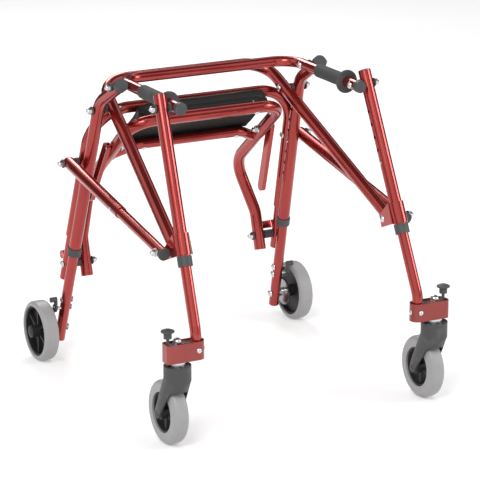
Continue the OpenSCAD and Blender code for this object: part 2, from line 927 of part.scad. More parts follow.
module lock_knob() {
    neck_r = 8;
    neck_h = 12.5;
    knob_r = 13.5;
    rim_h = 4;
    top_r = 12;
    dome_big = 20;
    low = fork_top_z + lock_clear;
    neck_z = band_low_z + band_h + lock_travel + lock_clear;
    translate([knob_x, stem_y, low]) cylinder(r = lock_r, h = neck_z - low + rim_h);
    translate([knob_x, stem_y, neck_z]) rotate_extrude() {
        square([neck_r, neck_h]);
        translate([0, neck_h - lap]) square([knob_r - rim_h / 2, rim_h]);
        intersection() {
            translate([0, neck_h - lap]) square([knob_r, rim_h]);
            translate([knob_r - rim_h / 2, neck_h - lap + rim_h / 2]) circle(rim_h / 2);
        }
        translate([0, neck_h + rim_h - 2 * lap]) intersection() {
            square([top_r, rim_h]);
            translate([0, rim_h - dome_big]) circle(dome_big);
        }
    }
}

// Rear lower legs

module rear_lower_leg() {
    p = rear_at(rear_button_z);
    difference() {
        pipe(rear_at(rear_slide_low_z), rear_at(rear_slide_top_z), slide_r, slide_bore_r);
        cross_pin(0, rear_foot_x * 2, axle_y, wheel_r, axle_r + press);
        for (z = [pawl_z, guard_z])
            cross_pin(0, rear_foot_x * 2, rear_at(z)[1], z, bolt_hole_r);
        cross_pin(p[0] - tube_d, p[0], p[1], p[2], button_r + gap);
    }
}

// Axle bolt with its spacer, the pawl's bolt and the short bolt above it
module rear_axle_bolts() {
    boss = 4;
    inner = rear_foot_x - slide_r - leg_seat;
    union() {
        cross_pin(inner - lap, rear_wheel_x + hub_out - hub_gap, axle_y, wheel_r, axle_r);
        translate([inner, axle_y, wheel_r]) rotate([0, -90, 0]) dome_head(axle_head_r, nut_h);
        cross_pin(rear_foot_x + slide_r + leg_seat, ratchet_in_x - hub_gap, axle_y, wheel_r, axle_r + boss);
    }
    leg_bolt(pawl_z, ratchet_in_x + ratchet_t);
    leg_bolt(guard_z, rear_at(guard_z)[0] + slide_r + leg_seat);
}

// Bolt through the leg with a head on the inner side and a rounded end at x1
module leg_bolt(z, x1) {
    leg = rear_at(z);
    x0 = leg[0] - slide_r - leg_seat;
    union() {
        translate([x0, leg[1], z]) rotate([0, -90, 0]) dome_head(head_r, head_h);
        cross_pin(x0 - lap, x1 + lap, leg[1], z, bolt_r);
        translate([x1, leg[1], z]) rotate([0, 90, 0]) dome_head(dome_r, small_head_h);
    }
}

// Pawl that drops between the ratchet's teeth, drawn lifted
module pawl() {
    pivot = rear_at(pawl_z);
    eye_r = 8.5;
    lift = 1.2;
    tip_y = axle_y + 6;
    tip_z = wheel_r + ratchet_r + lift;
    tip_w = 2.4;
    tip_back = 0.8;
    tab_r = 5.5;
    tab_up = 21;
    tab_back = 5;
    tab_len = 14;
    translate([ratchet_in_x - gap, 0, 0])
        cross_pin(0, tab_len, pivot[1] - tab_back, pawl_z + tab_up, tab_r);
    side_plate(ratchet_in_x - gap, pawl_t) difference() {
        union() {
            translate([pivot[1], pawl_z]) circle(eye_r);
            translate([pivot[1] - tab_back - tab_r, pawl_z]) square([2 * tab_r, tab_up]);
            polygon([
                [pivot[1] - eye_r * 0.6, pawl_z - eye_r * 0.75],
                [tip_y - tip_back - tip_w, tip_z],
                [tip_y - tip_back, tip_z],
                [pivot[1] + eye_r * 0.94, pawl_z + eye_r * 0.23]
            ]);
        }
        translate([pivot[1], pawl_z]) circle(bolt_hole_r);
    }
}

// Rear wheels

// Dished wheel: a disc behind six ribs, and a hub under a rounded dust cap
module rear_hub() {
    disc_t = 5;
    disc_in = 5;
    hub_r = 13;
    ribs = 6;
    rib_t = 4;
    rib_out = 8;
    hub_low = ratchet_in_x + ratchet_t + hub_gap - rear_wheel_x;
    wheel_at(rear_wheel_x, axle_y) difference() {
        union() {
            rim_ring(rear_rim_r);
            translate([0, 0, -disc_in]) cylinder(r = rear_rim_r - rim_t / 2, h = disc_t);
            translate([0, 0, hub_low]) cylinder(r = hub_r, h = hub_out - hub_low);
            translate([0, 0, hub_out]) dome_head(hub_r, hub_dome);
            for (i = [0 : ribs - 1]) rotate([0, 0, i * 360 / ribs])
                translate([0, -rib_t / 2, -disc_in / 2])
                    cube([rear_rim_r - rim_t / 2, rib_t, rib_out + disc_in / 2]);
        }
        translate([0, 0, hub_low - past]) cylinder(r = axle_r + pin_fit, h = hub_out - hub_low + past);
    }
}

// Saw-tooth ring: two points a tooth, one on the tip circle and one on the root circle
module ratchet_ring() {
    step = 360 / ratchet_teeth;
    tooth_lean = 0.72;
    wheel_at(ratchet_in_x, axle_y) rotate([0, 0, ratchet_turn]) linear_extrude(ratchet_t + hub_gap) difference() {
        polygon([for (i = [0 : ratchet_teeth - 1], k = [0, 1])
            (k == 0 ? ratchet_root_r : ratchet_r)
                * [cos((i + k * tooth_lean) * step), sin((i + k * tooth_lean) * step)]]);
        circle(axle_r + pin_fit);
    }
}

// Snap buttons: a round button on a leaf spring bent over inside the sliding tube

// Button that stands out of a tube along -X, on a leaf that runs along the tube
module snap_button(at, along) {
    stand = tube_r + button_out;
    back = slide_bore_r - button_back;
    d = unit([along[1], along[2]]);
    n = [-d[1], d[0]] * leaf_w / 2;
    c = [at[1], at[2]];
    translate([at[0] - back, at[1], at[2]]) rotate([0, -90, 0]) {
        cylinder(r = button_r, h = stand - back - button_dome);
        translate([0, 0, stand - back - button_dome]) dome_head(button_r, button_dome);
        translate([0, 0, -leaf_t]) cylinder(r = button_r + 1, h = leaf_t + lap);
    }
    side_plate(at[0] - back, leaf_t)
        polygon([c + n, c - n, c - n + d * leaf_len, c + n + d * leaf_len]);
}

module rear_button() {
    snap_button(rear_at(rear_button_z), -rear_up);
}
module front_button() {
    snap_button(front_at(front_button_z), -front_up);
}
module side_brace_button() {
    translate(side_button) mirror([1, 0, 0]) snap_button([0, 0, 0], side_dir);
}

// Seat

module seat_posts() {
    red() both() difference() {
        pipe(hoop_at(seat_post_low_z), hoop_at(seat_post_top_z), post_r, post_r - tube_wall);
        cross_pin(0, rear_foot_x * 2, seat_pivot[1], seat_pivot[2], bolt_hole_r);
    }
}

seat_post_x = hoop_at(seat_pivot_z)[0];

module seat_pivot_bolts() {
    y = seat_pivot[1];
    z = seat_pivot[2];
    x0 = seat_x - tube_r - gap - washer_h;
    x1 = seat_post_x + post_r + leg_seat;
    silver() both() union() {
        translate([x0, y, z]) rotate([0, -90, 0]) cap_nut();
        cross_pin(x0 - lap, x1 + lap, y, z, bolt_r);
        translate([x1, y, z]) rotate([0, 90, 0]) dome_head(head_r, head_h);
    }
}

module seat_pivot_washers() {
    y = seat_pivot[1];
    z = seat_pivot[2];
    inner = seat_x - tube_r - gap;
    black() both() {
        spacer(inner - washer_h + seat_gap, inner, y, z, washer_r);
        spacer(seat_x + tube_r + gap, seat_post_x - post_r - leg_seat, y, z, washer_r);
    }
}

// Point on the seat's plane: across, down from the front rail, up from the plane
function on_seat(x, down, up) = [x, seat_corner[1], seat_corner[2]]
    - seat_arm_dir * down + seat_up_dir * up;

module seat_main_tube() {
    tail = seat_pivot - seat_stem_dir * seat_tail;
    bent_tube(
        [tail, seat_kink, seat_knee, seat_corner,
            flip_x(seat_corner), flip_x(seat_knee), flip_x(seat_kink), flip_x(tail)],
        [seat_kink_r, seat_bend_r, seat_corner_r, seat_corner_r, seat_bend_r, seat_kink_r], tube_r, bore_r);
}

module seat_lower_rail() {
    end = on_seat(rail_end_x, rail_end, rail_up);
    top = on_seat(rail_bend_x, rail_down, rail_up);
    bent_tube([end, top, flip_x(top), flip_x(end)], [rail_bend_r, rail_bend_r], rail_r, rail_r - tube_wall);
}

// Stop that swings onto the back of the seat post when the seat is level
module seat_stop() {
    post_at = hoop_at(seat_pivot_z) + rear_up * stop_up;
    saddle_r = post_r + gap;
    reach = saddle_r + stop_t / 2;
    stub_y = post_at[1] + reach * cos(rear_lean) + stub_back;
    stub_z = post_at[2] + reach * sin(rear_lean);
    half = rear_up * stop_half;
    translate([0, seat_pivot[1], seat_pivot[2]]) rotate([-seat_drop, 0, 0])
        translate([0, -seat_pivot[1], -seat_pivot[2]]) difference() {
            union() {
                cross_pin(seat_x, post_at[0] + stub_past, stub_y, stub_z, stub_r);
                intersection() {
                    bar(post_at - half, post_at + half, saddle_r + stop_t);
                    translate([post_at[0] - tube_d, post_at[1] + stub_back, post_at[2] - tube_d])
                        cube([tube_d + stub_past, 2 * tube_d, 2 * tube_d]);
                }
            }
            bar(post_at - half * 4, post_at + half * 4, saddle_r);
        }
}

module seat_frame() {
    red() difference() {
        union() {
            seat_main_tube();
            difference() {
                union() {
                    seat_lower_rail();
                    both() seat_stop();
                }
                seat_main_core();
            }
        }
        cross_pin(-rear_foot_x, rear_foot_x, seat_pivot[1], seat_pivot[2], bolt_hole_r);
        stay_pin_room(bolt_hole_r);
        seat_screw_room(screw_r + pin_fit);
    }
}

// Core of the seat's main tube out to the middle of its wall, where welded-on pieces end
module seat_main_core() {
    tail = seat_pivot - seat_stem_dir * seat_tail;
    both() {
        bar(tail, seat_kink, bore_r + tube_wall / 2);
        bar(seat_knee, seat_corner, bore_r + tube_wall / 2);
    }
}

module stay_pin_room(r) {
    p = on_seat(0, stay_down, 0);
    cross_pin(-rear_foot_x, rear_foot_x, p[1], p[2], r);
}

// Screws up through both rails into the board, one near each corner of the pad
module at_screws() {
    for (x = [-screw_x, screw_x], d = [0, rail_down])
        translate(on_seat(x, d, d == 0 ? -tube_r : rail_up - rail_r)) align(seat_up_dir) children();
}

module seat_screw_room(r) {
    at_screws() translate([0, 0, -past]) cylinder(r = r, h = tube_d + 2 * past);
}

module seat_board() {
    wide = pad_w - 2 * board_inset;
    deep = pad_depth - 2 * board_inset;
    color([0.12, 0.12, 0.12]) difference() {
        seat_frame_of_pad() translate([-wide / 2, board_inset, 0]) cube([wide, deep, board_t]);
        at_screws() cylinder(r = screw_r + press, h = tube_d + board_t + 2 * past);
    }
}

// Frame of the pad: x across, y down the slope from the pad's upper edge, z up from the rails
module seat_frame_of_pad() {
    translate(on_seat(0, pad_front, tube_r + seat_gap)) rotate([-seat_drop, 0, 0]) children();
}

// Cushion with a crowned top and sides drawn in between the corners
module seat_cushion() {
    nx = 28;
    ny = 14;
    side_h = 13;
    draw_in = 3;
    function across(i) = 2 * i / nx - 1;
    function along(j) = 2 * j / ny - 1;
    function px(u, v) = u * (pad_w / 2 - draw_in * (1 - v * v));
    function py(u, v) = pad_depth / 2 + v * (pad_depth / 2 - draw_in * (1 - u * u));
    function crown(u, v) = side_h + (pad_thick - side_h) * sqrt((1 - pow(abs(u), 5)) * (1 - pow(abs(v), 3)));
    base = board_t + seat_gap;
    low = [for (j = [0 : ny], i = [0 : nx]) [px(across(i), along(j)), py(across(i), along(j)), base]];
    top = [for (j = [0 : ny], i = [0 : nx])
        [px(across(i), along(j)), py(across(i), along(j)), base + crown(across(i), along(j))]];
    n = (nx + 1) * (ny + 1);
    function id(i, j) = j * (nx + 1) + i;
    faces_low = [for (j = [0 : ny - 1], i = [0 : nx - 1], k = [0, 1])
        k == 0 ? [id(i, j), id(i + 1, j), id(i + 1, j + 1)] : [id(i, j), id(i + 1, j + 1), id(i, j + 1)]];
    faces_top = [for (f = faces_low) [n + f[0], n + f[2], n + f[1]]];
    edge = concat(
        [for (i = [0 : nx - 1]) id(i, 0)], [for (j = [0 : ny - 1]) id(nx, j)],
        [for (i = [nx : -1 : 1]) id(i, ny)], [for (j = [ny : -1 : 1]) id(0, j)]);
    m = len(edge);
    faces_side = [for (k = [0 : m - 1], h = [0, 1])
        h == 0 ? [edge[k], n + edge[k], n + edge[(k + 1) % m]]
            : [edge[k], n + edge[(k + 1) % m], edge[(k + 1) % m]]];
    color([0.1, 0.1, 0.1]) seat_frame_of_pad()
        polyhedron(concat(low, top), concat(faces_low, faces_top, faces_side), convexity = 4);
}

module seat_fasteners() {
    p = on_seat(0, stay_down, 0);
    x0 = arm_x - tube_r - seat_gap - washer_h;
    x1 = stay_in_x + stay_t + gap;
    silver() {
        at_screws() {
            cylinder(r = screw_r, h = tube_d + board_t / 2);
            translate([0, 0, -seat_gap]) mirror([0, 0, 1]) dome_head(seat_head_r, seat_head_h);
        }
        both() union() {
            translate([x0, p[1], p[2]]) rotate([0, -90, 0]) cap_nut();
            translate([x0, p[1], p[2]]) rotate([0, 90, 0]) cylinder(r = washer_r, h = washer_h);
            cross_pin(x0 - lap, x1 + lap, p[1], p[2], bolt_r);
            translate([x1, p[1], p[2]]) rotate([0, 90, 0]) dome_head(head_r, stay_head_h);
        }
    }
}

// Channel bar that hangs from the seat's side tube, open side outwards
module stay(lean) {
    p = on_seat(0, stay_down, 0);
    translate([stay_in_x, p[1], p[2]]) rotate([lean, 0, 0]) rotate([90, 0, 90]) difference() {
        linear_extrude(stay_depth) stay_outline(0);
        translate([0, 0, stay_t]) linear_extrude(stay_depth) stay_outline(stay_t);
        translate([0, 0, -past]) cylinder(r = bolt_hole_r, h = stay_t + 2 * past);
    }
}

module stay_outline(t) {
    r = stay_w / 2;
    translate([0, stay_above - r]) circle(r - t);
    translate([0, r - stay_len]) circle(r - t);
    translate([-r + t, r - stay_len]) square([2 * (r - t), stay_len + stay_above - 2 * r]);
}

// Nodes that come once for each side

module front_lower_leg_left() {
    red() on_side(false) front_lower_leg();
}
module front_lower_leg_right() {
    red() on_side(true) front_lower_leg();
}
module caster_strap_left() {
    red() on_side(false) caster_strap();
}
module caster_strap_right() {
    red() on_side(true) caster_strap();
}
module caster_hardware_left() {
    silver() on_side(false) caster_hardware();
}
module caster_hardware_right() {
    silver() on_side(true) caster_hardware();
}
module caster_fork_left() {
    black() on_side(false) caster_fork();
}
module caster_fork_right() {
    black() on_side(true) caster_fork();
}
module caster_tyre_left() {
    grey() on_side(false) tyre(stem_x, stem_y + caster_trail, rim_r, caster_round_r);
}
module caster_tyre_right() {
    grey() on_side(true) tyre(stem_x, stem_y + caster_trail, rim_r, caster_round_r);
}
module caster_rim_left() {
    black() on_side(false) caster_rim();
}
module caster_rim_right() {
    black() on_side(true) caster_rim();
}
module lock_knob_left() {
    black() on_side(false) lock_knob();
}
module lock_knob_right() {
    black() on_side(true) lock_knob();
}
module rear_lower_leg_left() {
    red() on_side(false) rear_lower_leg();
}
module rear_lower_leg_right() {
    red() on_side(true) rear_lower_leg();
}
module rear_axle_bolts_left() {
    silver() on_side(false) rear_axle_bolts();
}
module rear_axle_bolts_right() {
    silver() on_side(true) rear_axle_bolts();
}
module pawl_left() {
    black() on_side(false) pawl();
}
module pawl_right() {
    black() on_side(true) pawl();
}
module rear_tyre_left() {
    grey() on_side(false) tyre(rear_wheel_x, axle_y, rear_rim_r, rear_round_r);
}
module rear_tyre_right() {
    grey() on_side(true) tyre(rear_wheel_x, axle_y, rear_rim_r, rear_round_r);
}
module rear_hub_left() {
    black() on_side(false) rear_hub();
}
module rear_hub_right() {
    black() on_side(true) rear_hub();
}
module ratchet_ring_left() {
    silver() on_side(false) ratchet_ring();
}
module ratchet_ring_right() {
    silver() on_side(true) ratchet_ring();
}
module rear_button_left() {
    silver() on_side(false) rear_button();
}
module rear_button_right() {
    silver() on_side(true) rear_button();
}
module front_button_left() {
    silver() on_side(false) front_button();
}
module front_button_right() {
    silver() on_side(true) front_button();
}
module side_button_left() {
    silver() on_side(false) side_brace_button();
}
module side_button_right() {
    silver() on_side(true) side_brace_button();
}
module stay_left() {
    red() on_side(false) stay(stay_lean_left);
}
module stay_right() {
    red() on_side(true) stay(stay_lean_right);
}

rear_upper_legs();
rear_leg_caps();
back_hoop();
rear_pivot_bolts();
rear_pivot_spacers();
handle_bar();
handle_grips();
handle_plugs();
brace_hoop();
brace_end_pins();
front_upper_legs();
leg_straps();
front_leg_collars();
front_pivot_bolts();
front_pivot_spacers();
side_brace_outer();
side_brace_inner();
side_brace_plugs();
side_brace_nuts();
front_lower_leg_left();
front_lower_leg_right();
caster_strap_left();
caster_strap_right();
caster_hardware_left();
caster_hardware_right();
caster_fork_left();
caster_fork_right();
caster_tyre_left();
caster_tyre_right();
caster_rim_left();
caster_rim_right();
lock_knob_left();
lock_knob_right();
rear_lower_leg_left();
rear_lower_leg_right();
rear_axle_bolts_left();
rear_axle_bolts_right();
pawl_left();
pawl_right();
rear_tyre_left();
rear_tyre_right();
rear_hub_left();
rear_hub_right();
ratchet_ring_left();
ratchet_ring_right();
rear_button_left();
rear_button_right();
front_button_left();
front_button_right();
side_button_left();
side_button_right();
seat_posts();
seat_pivot_bolts();
seat_pivot_washers();
seat_frame();
seat_board();
seat_cushion();
seat_fasteners();
stay_left();
stay_right();
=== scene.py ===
"""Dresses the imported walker: painted tube, plastics, tyres, plated hardware, sewn seat pad and studio."""

import json
import math

import bmesh
import bpy
import numpy as np
from bpy.props import FloatProperty, FloatVectorProperty, IntProperty, PointerProperty
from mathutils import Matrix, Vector


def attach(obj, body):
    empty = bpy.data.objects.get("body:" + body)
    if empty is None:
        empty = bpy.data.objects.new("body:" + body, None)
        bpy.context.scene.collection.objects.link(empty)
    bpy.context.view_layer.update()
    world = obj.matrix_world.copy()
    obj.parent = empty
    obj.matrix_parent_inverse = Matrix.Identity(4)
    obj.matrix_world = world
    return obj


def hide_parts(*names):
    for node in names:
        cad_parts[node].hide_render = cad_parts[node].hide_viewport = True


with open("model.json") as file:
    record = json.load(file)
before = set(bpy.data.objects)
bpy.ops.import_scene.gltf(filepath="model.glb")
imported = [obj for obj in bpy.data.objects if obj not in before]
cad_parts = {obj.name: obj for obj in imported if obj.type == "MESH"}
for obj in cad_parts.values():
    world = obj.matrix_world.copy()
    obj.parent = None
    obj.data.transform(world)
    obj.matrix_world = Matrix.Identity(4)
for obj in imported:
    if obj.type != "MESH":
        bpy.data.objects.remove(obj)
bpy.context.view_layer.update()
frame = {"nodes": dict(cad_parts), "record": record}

bl_info = {
    "name": "Posterior walker dress",
    "version": (1, 0, 0),
    "blender": (4, 5, 0),
    "location": "3D View > Sidebar > Walker",
    "description": "Finishes, sewn seat pad, weld beads and studio for a folding posterior walker",
    "category": "Object",
}


# Middle lines of the tubes that carry small pieces, as in the part's source, on the side of positive X:
# places in metres, splay and lean in degrees
REAR_FOOT = (0.257, 0.29, 0.0635)
REAR_SPLAY, REAR_LEAN = 2.9, 16.7
FRONT_TOP = (0.22841, -0.139114, 0.654)
FRONT_SPLAY, FRONT_LEAN = 2.6, 23.8
SEAT_ARM_X = 0.173
RAIL_END_X, RAIL_END_DOWN = 0.172, 0.158
RAIL_RUN = (0.05, 0.04)
RAIL_SLACK, SEAT_GAP = 0.0003, 0.0001
PAD_OVERHANG = 0.008
HANDS = (-1.0, 1.0)

# Heights of the welds over the rear wheel's middle, and how far a bead lies beside the touching line
WELD_RISES = (0.2285, 0.2945, 0.3605)
WELD_ASIDE = 0.0042

# Size of a rail's bead to a hoop's, the ripples' share of it, sides of a bead or welt, points of the outline
RAIL_BEAD, RIPPLE_DEPTH = 0.8, 0.1
CORD_SIDES, OUTLINE_POINTS = 10, 220

# A turn in radians, the radius of a closed end, and the distance under which two vertices are one
FULL_TURN = 2.0 * np.pi
POINT, MERGE = 1e-8, 1e-6

# Lamps: name, place, side, power setting. Dark cards: name, bearing and tilt in degrees, width to height
LAMPS = (
    ("key_panel", (-2.6, -2.6, 3.4), 1.8, "key"),
    ("fill_panel", (3.2, -2.2, 1.9), 1.4, "fill"),
    ("back_strip", (0.6, 3.0, 2.6), 1.4, "fill"),
)
LAMP_AIM = (0.0, 0.0, 0.35)
CARDS = (
    ("card_right", 12.0, 0.0, 1.0),
    ("card_back", 62.0, 0.0, 1.0),
    ("card_left", 112.0, 0.0, 1.0),
    ("card_top", 62.0, 84.0, 1.4),
    ("card_strip_right", -66.0, 0.0, 0.26),
    ("card_strip_left", -170.0, 0.0, 0.26),
)
SQUARE = np.array([[-1.0, -1.0], [1.0, -1.0], [1.0, 1.0], [-1.0, 1.0]])
FLOOR_HALF, FLOOR_DROP = 14.0, 0.0004
CARD_LOW = 0.02


def tone(name, description, default):
    """Colour property with linear red, green and blue."""
    return FloatVectorProperty(
        name=name, description=description, default=default, subtype="COLOR", size=3, min=0.0, max=1.0
    )


def size(name, description, default):
    """Length property in metres."""
    return FloatProperty(
        name=name, description=description, default=default, unit="LENGTH", min=0.0, precision=5
    )


def amount(name, description, default, **more):
    """Number from zero up, with a unit where one is given."""
    return FloatProperty(name=name, description=description, default=default, min=0.0, **more)


def point(name, description, default):
    """Place in metres."""
    return FloatVectorProperty(
        name=name, description=description, default=default, subtype="TRANSLATION", size=3
    )


class WalkerFinish(bpy.types.PropertyGroup):
    """Colours of the finishes."""

    paint: tone("Paint", "Translucent red over bright metal", (0.43, 0.035, 0.031))
    paint_deep: tone("Deep paint", "Red where the coat lies thicker", (0.26, 0.014, 0.013))
    plastic: tone("Plastic", "Moulded charcoal plastic", (0.062, 0.062, 0.065))
    grip: tone("Grip", "Soft charcoal grip rubber", (0.062, 0.061, 0.063))
    tyre: tone("Tyre", "Non-marking grey tyre", (0.375, 0.37, 0.37))
    steel: tone("Steel", "Bright zinc plate", (0.74, 0.74, 0.75))
    vinyl: tone("Vinyl", "Black upholstery vinyl", (0.0075, 0.0075, 0.007))


class WalkerPad(bpy.types.PropertyGroup):
    """Sizes of the sewn seat pad, in the pad's own frame."""

    edge: point("Upper edge", "Middle of the pad's upper edge on the rails", (0.0, 0.10233, 0.55519))
    slope: FloatProperty(
        name="Slope", description="Slope of the stowed pad", default=math.radians(38.5), subtype="ANGLE"
    )
    width: size("Width", "Pad width", 0.298)
    depth: size("Depth", "Pad depth down the slope", 0.136)
    base: size("Base", "Height of the pad's underside over the rails", 0.0061)
    side: size("Side height", "Height of the pad's sides", 0.0175)
    crown: size("Crown", "Thickness at the pad's middle", 0.0205)
    draw_in: size("Draw in", "How far the sides pull in between corners", 0.003)
    welt: size("Welt", "Radius of the sewn welt", 0.0011)
    shrink: FloatProperty(
        name="Shrink",
        description="How much smaller the pad starts before it is inflated; below zero it starts larger",
        default=-0.0012,
        unit="LENGTH",
        precision=5,
    )
    swell: size("Swell", "Most that a point moves while the pad is inflated", 0.004)
    voxel: size("Voxel", "Voxel size of the pad before it is inflated", 0.004)
    frames: IntProperty(name="Frames", description="Cloth frames", default=18, min=2, max=60)


class WalkerTube(bpy.types.PropertyGroup):
    """Sizes of the small pieces on the bent tubes: weld beads and end plugs."""

    tube_r: size("Tube radius", "Outer radius of the frame tube", 0.0127)
    rail_r: size("Rail radius", "Outer radius of the seat's lower rail", 0.011)
    bead: size("Bead", "Radius of a weld bead", 0.0019)
    ripple: size("Ripple", "Pitch of the ripples along a weld bead", 0.0021)
    weld: size("Weld", "Length of one weld between leg and hoop", 0.026)
    plug: size("Plug", "Height of the domed plug in a leg's open top", 0.0022)


class WalkerStudio(bpy.types.PropertyGroup):
    """Floor, light and camera."""

    floor: tone("Floor", "Pale studio floor", (0.92, 0.92, 0.92))
    glow: amount("Floor white", "White that the camera adds to the floor", 0.24)
    card: tone("Cards", "Dark cards that the tubes reflect", (0.02, 0.02, 0.02))
    card_height: size("Card height", "Height of each dark card", 3.2)
    card_away: size("Card distance", "Distance of each dark card", 3.6)
    key: amount("Key", "Power of the key light", 95.0, unit="POWER")
    fill: amount("Fill", "Power of the fill light", 42.0, unit="POWER")
    world: amount("World", "Strength of the soft surrounding light", 0.55)
    eye: point("Eye", "Camera place", (-2.4449, -4.7166, 1.8520))
    aim: point("Aim", "Point the camera looks at", (0.0, -0.1355, 0.35))
    shift: FloatVectorProperty(
        name="Shift", description="Shift of the frame", default=(-0.0479, -0.0202), size=2, precision=4
    )
    lens: FloatProperty(name="Lens", description="Focal length in millimetres", default=202.65, min=1.0)


def group(name, inputs, outputs):
    """New shader node group with float inputs given as name to default, and float outputs."""
    tree = bpy.data.node_groups.new(name, "ShaderNodeTree")
    for label, default in inputs.items():
        sock = tree.interface.new_socket(label, in_out="INPUT", socket_type="NodeSocketFloat")
        sock.default_value = default
    for label in outputs:
        tree.interface.new_socket(label, in_out="OUTPUT", socket_type="NodeSocketFloat")
    return tree, tree.nodes.new("NodeGroupInput"), tree.nodes.new("NodeGroupOutput")


def add(tree, kind, **settings):
    """New node; keys that name one of its inputs set that input, others set the node itself."""
    node = tree.nodes.new("ShaderNode" + kind)
    for key, value in settings.items():
        if key in node.inputs:
            node.inputs[key].default_value = value
        else:
            setattr(node, key, value)
    return node


def grain_group():
    """Fine pitted grain: a small noise plus a cell pattern, as a mask from 0 to 1 and a bump height."""
    tree, gin, gout = group("fine_grain", {"Scale": 900.0, "Cells": 0.5}, ("Mask", "Height"))
    link = tree.links.new
    place = add(tree, "TexCoord")
    noise = add(tree, "TexNoise", Detail=4.0, Roughness=0.6)
    cells = add(tree, "TexVoronoi", feature="SMOOTH_F1")
    mix = add(tree, "Mix", data_type="FLOAT")
    for tex in (noise, cells):
        link(place.outputs["Object"], tex.inputs["Vector"])
        link(gin.outputs["Scale"], tex.inputs["Scale"])
    link(gin.outputs["Cells"], mix.inputs[0])
    link(noise.outputs["Fac"], mix.inputs[2])
    link(cells.outputs["Distance"], mix.inputs[3])
    link(noise.outputs["Fac"], gout.inputs["Mask"])
    link(mix.outputs[0], gout.inputs["Height"])
    return tree


def scuff_group():
    """Handling marks: broad noise narrowed to its peaks, broken up by a finer noise."""
    tree, gin, gout = group("scuffs", {"Scale": 18.0, "Amount": 0.35}, ("Mask",))
    link = tree.links.new
    place = add(tree, "TexCoord")
    broad = add(tree, "TexNoise", Detail=3.0)
    fine = add(tree, "TexNoise", Scale=420.0, Detail=2.0)
    edge = add(tree, "MapRange", interpolation_type="SMOOTHSTEP")
    edge.inputs["From Min"].default_value = 0.52
    edge.inputs["From Max"].default_value = 0.72
    times = add(tree, "Math", operation="MULTIPLY")
    scaled = add(tree, "Math", operation="MULTIPLY")
    link(place.outputs["Object"], broad.inputs["Vector"])
    link(place.outputs["Object"], fine.inputs["Vector"])
    link(gin.outputs["Scale"], broad.inputs["Scale"])
    link(broad.outputs["Fac"], edge.inputs["Value"])
    link(edge.outputs["Result"], times.inputs[0])
    link(fine.outputs["Fac"], times.inputs[1])
    link(times.outputs[0], scaled.inputs[0])
    link(gin.outputs["Amount"], scaled.inputs[1])
    link(scaled.outputs[0], gout.inputs["Mask"])
    return tree


def flow_group():
    """Slow drift of a coat's depth along a tube: stretched noise from 0 to 1."""
    tree, gin, gout = group("coat_flow", {"Scale": 9.0}, ("Mask",))
    link = tree.links.new
    place = add(tree, "TexCoord")
    stretch = add(tree, "Mapping")
    stretch.inputs["Scale"].default_value = (1.0, 1.0, 0.35)
    noise = add(tree, "TexNoise", Detail=3.0, Roughness=0.55)
    link(place.outputs["Object"], stretch.inputs["Vector"])
    link(stretch.outputs["Vector"], noise.inputs["Vector"])
    link(gin.outputs["Scale"], noise.inputs["Scale"])
    link(noise.outputs["Fac"], gout.inputs["Mask"])
    return tree


class Finish:
    """Builds one Principled material from shared node groups."""

    def __init__(self, name, **constants):
        self.material = bpy.data.materials.new(name)
        self.material.use_nodes = True
        self.tree = self.material.node_tree
        self.shader = self.tree.nodes["Principled BSDF"]
        for label, value in constants.items():
            self.shader.inputs[label.replace("_", " ")].default_value = value

    def place(self, shared, **values):
        """Puts a shared group into the material with its own values."""
        node = self.tree.nodes.new("ShaderNodeGroup")
        node.node_tree = shared
        for label, value in values.items():
            node.inputs[label].default_value = value
        return node

    def colour(self, mask, low, high):
        """Base colour that runs from low to high as the mask goes from 0 to 1."""
        mix = add(self.tree, "Mix", data_type="RGBA")
        mix.inputs[6].default_value = (*low, 1.0)
        mix.inputs[7].default_value = (*high, 1.0)
        self.tree.links.new(mask, mix.inputs[0])
        self.tree.links.new(mix.outputs[2], self.shader.inputs["Base Color"])

    def vary(self, mask, low, high, target):
        """Shader value that runs from low to high with the mask."""
        span = add(self.tree, "MapRange")
        span.inputs["To Min"].default_value = low
        span.inputs["To Max"].default_value = high
        self.tree.links.new(mask, span.inputs["Value"])
        self.tree.links.new(span.outputs["Result"], self.shader.inputs[target])

    def bump(self, height, strength, distance):
        """Bump from a height in metres."""
        node = add(self.tree, "Bump", Strength=strength, Distance=distance)
        self.tree.links.new(height, node.inputs["Height"])
        self.tree.links.new(node.outputs["Normal"], self.shader.inputs["Normal"])


def mixed(a, b, t):
    """Colour part of the way from a to b."""
    return tuple(x + (y - x) * t for x, y in zip(a, b))


def red_paint(look, shared, name="candy_red_tube", grey=0.0, rough=0.0):
    """Candy red: metallic flake under a clear coat, deeper where the coat lies thick, with orange peel.

    Flat straps take a little grey and a duller coat, as sheet metal shows more of its rolling."""
    paint = Finish(name, Metallic=0.8, Coat_Weight=0.5 - rough, Coat_Roughness=0.06 + rough / 2, IOR=1.5)
    flow = paint.place(shared["flow"], Scale=11.0)
    grain = paint.place(shared["grain"], Scale=1500.0, Cells=0.15)
    dull = (0.14, 0.1, 0.09)
    bright = mixed(look.paint, (1.0, 0.3, 0.25), 0.12)
    paint.colour(flow.outputs["Mask"], mixed(look.paint_deep, dull, grey), mixed(bright, dull, grey))
    paint.vary(grain.outputs["Mask"], 0.16 + rough, 0.24 + rough, "Roughness")
    paint.bump(grain.outputs["Height"], 0.025, 0.0002)
    return paint.material


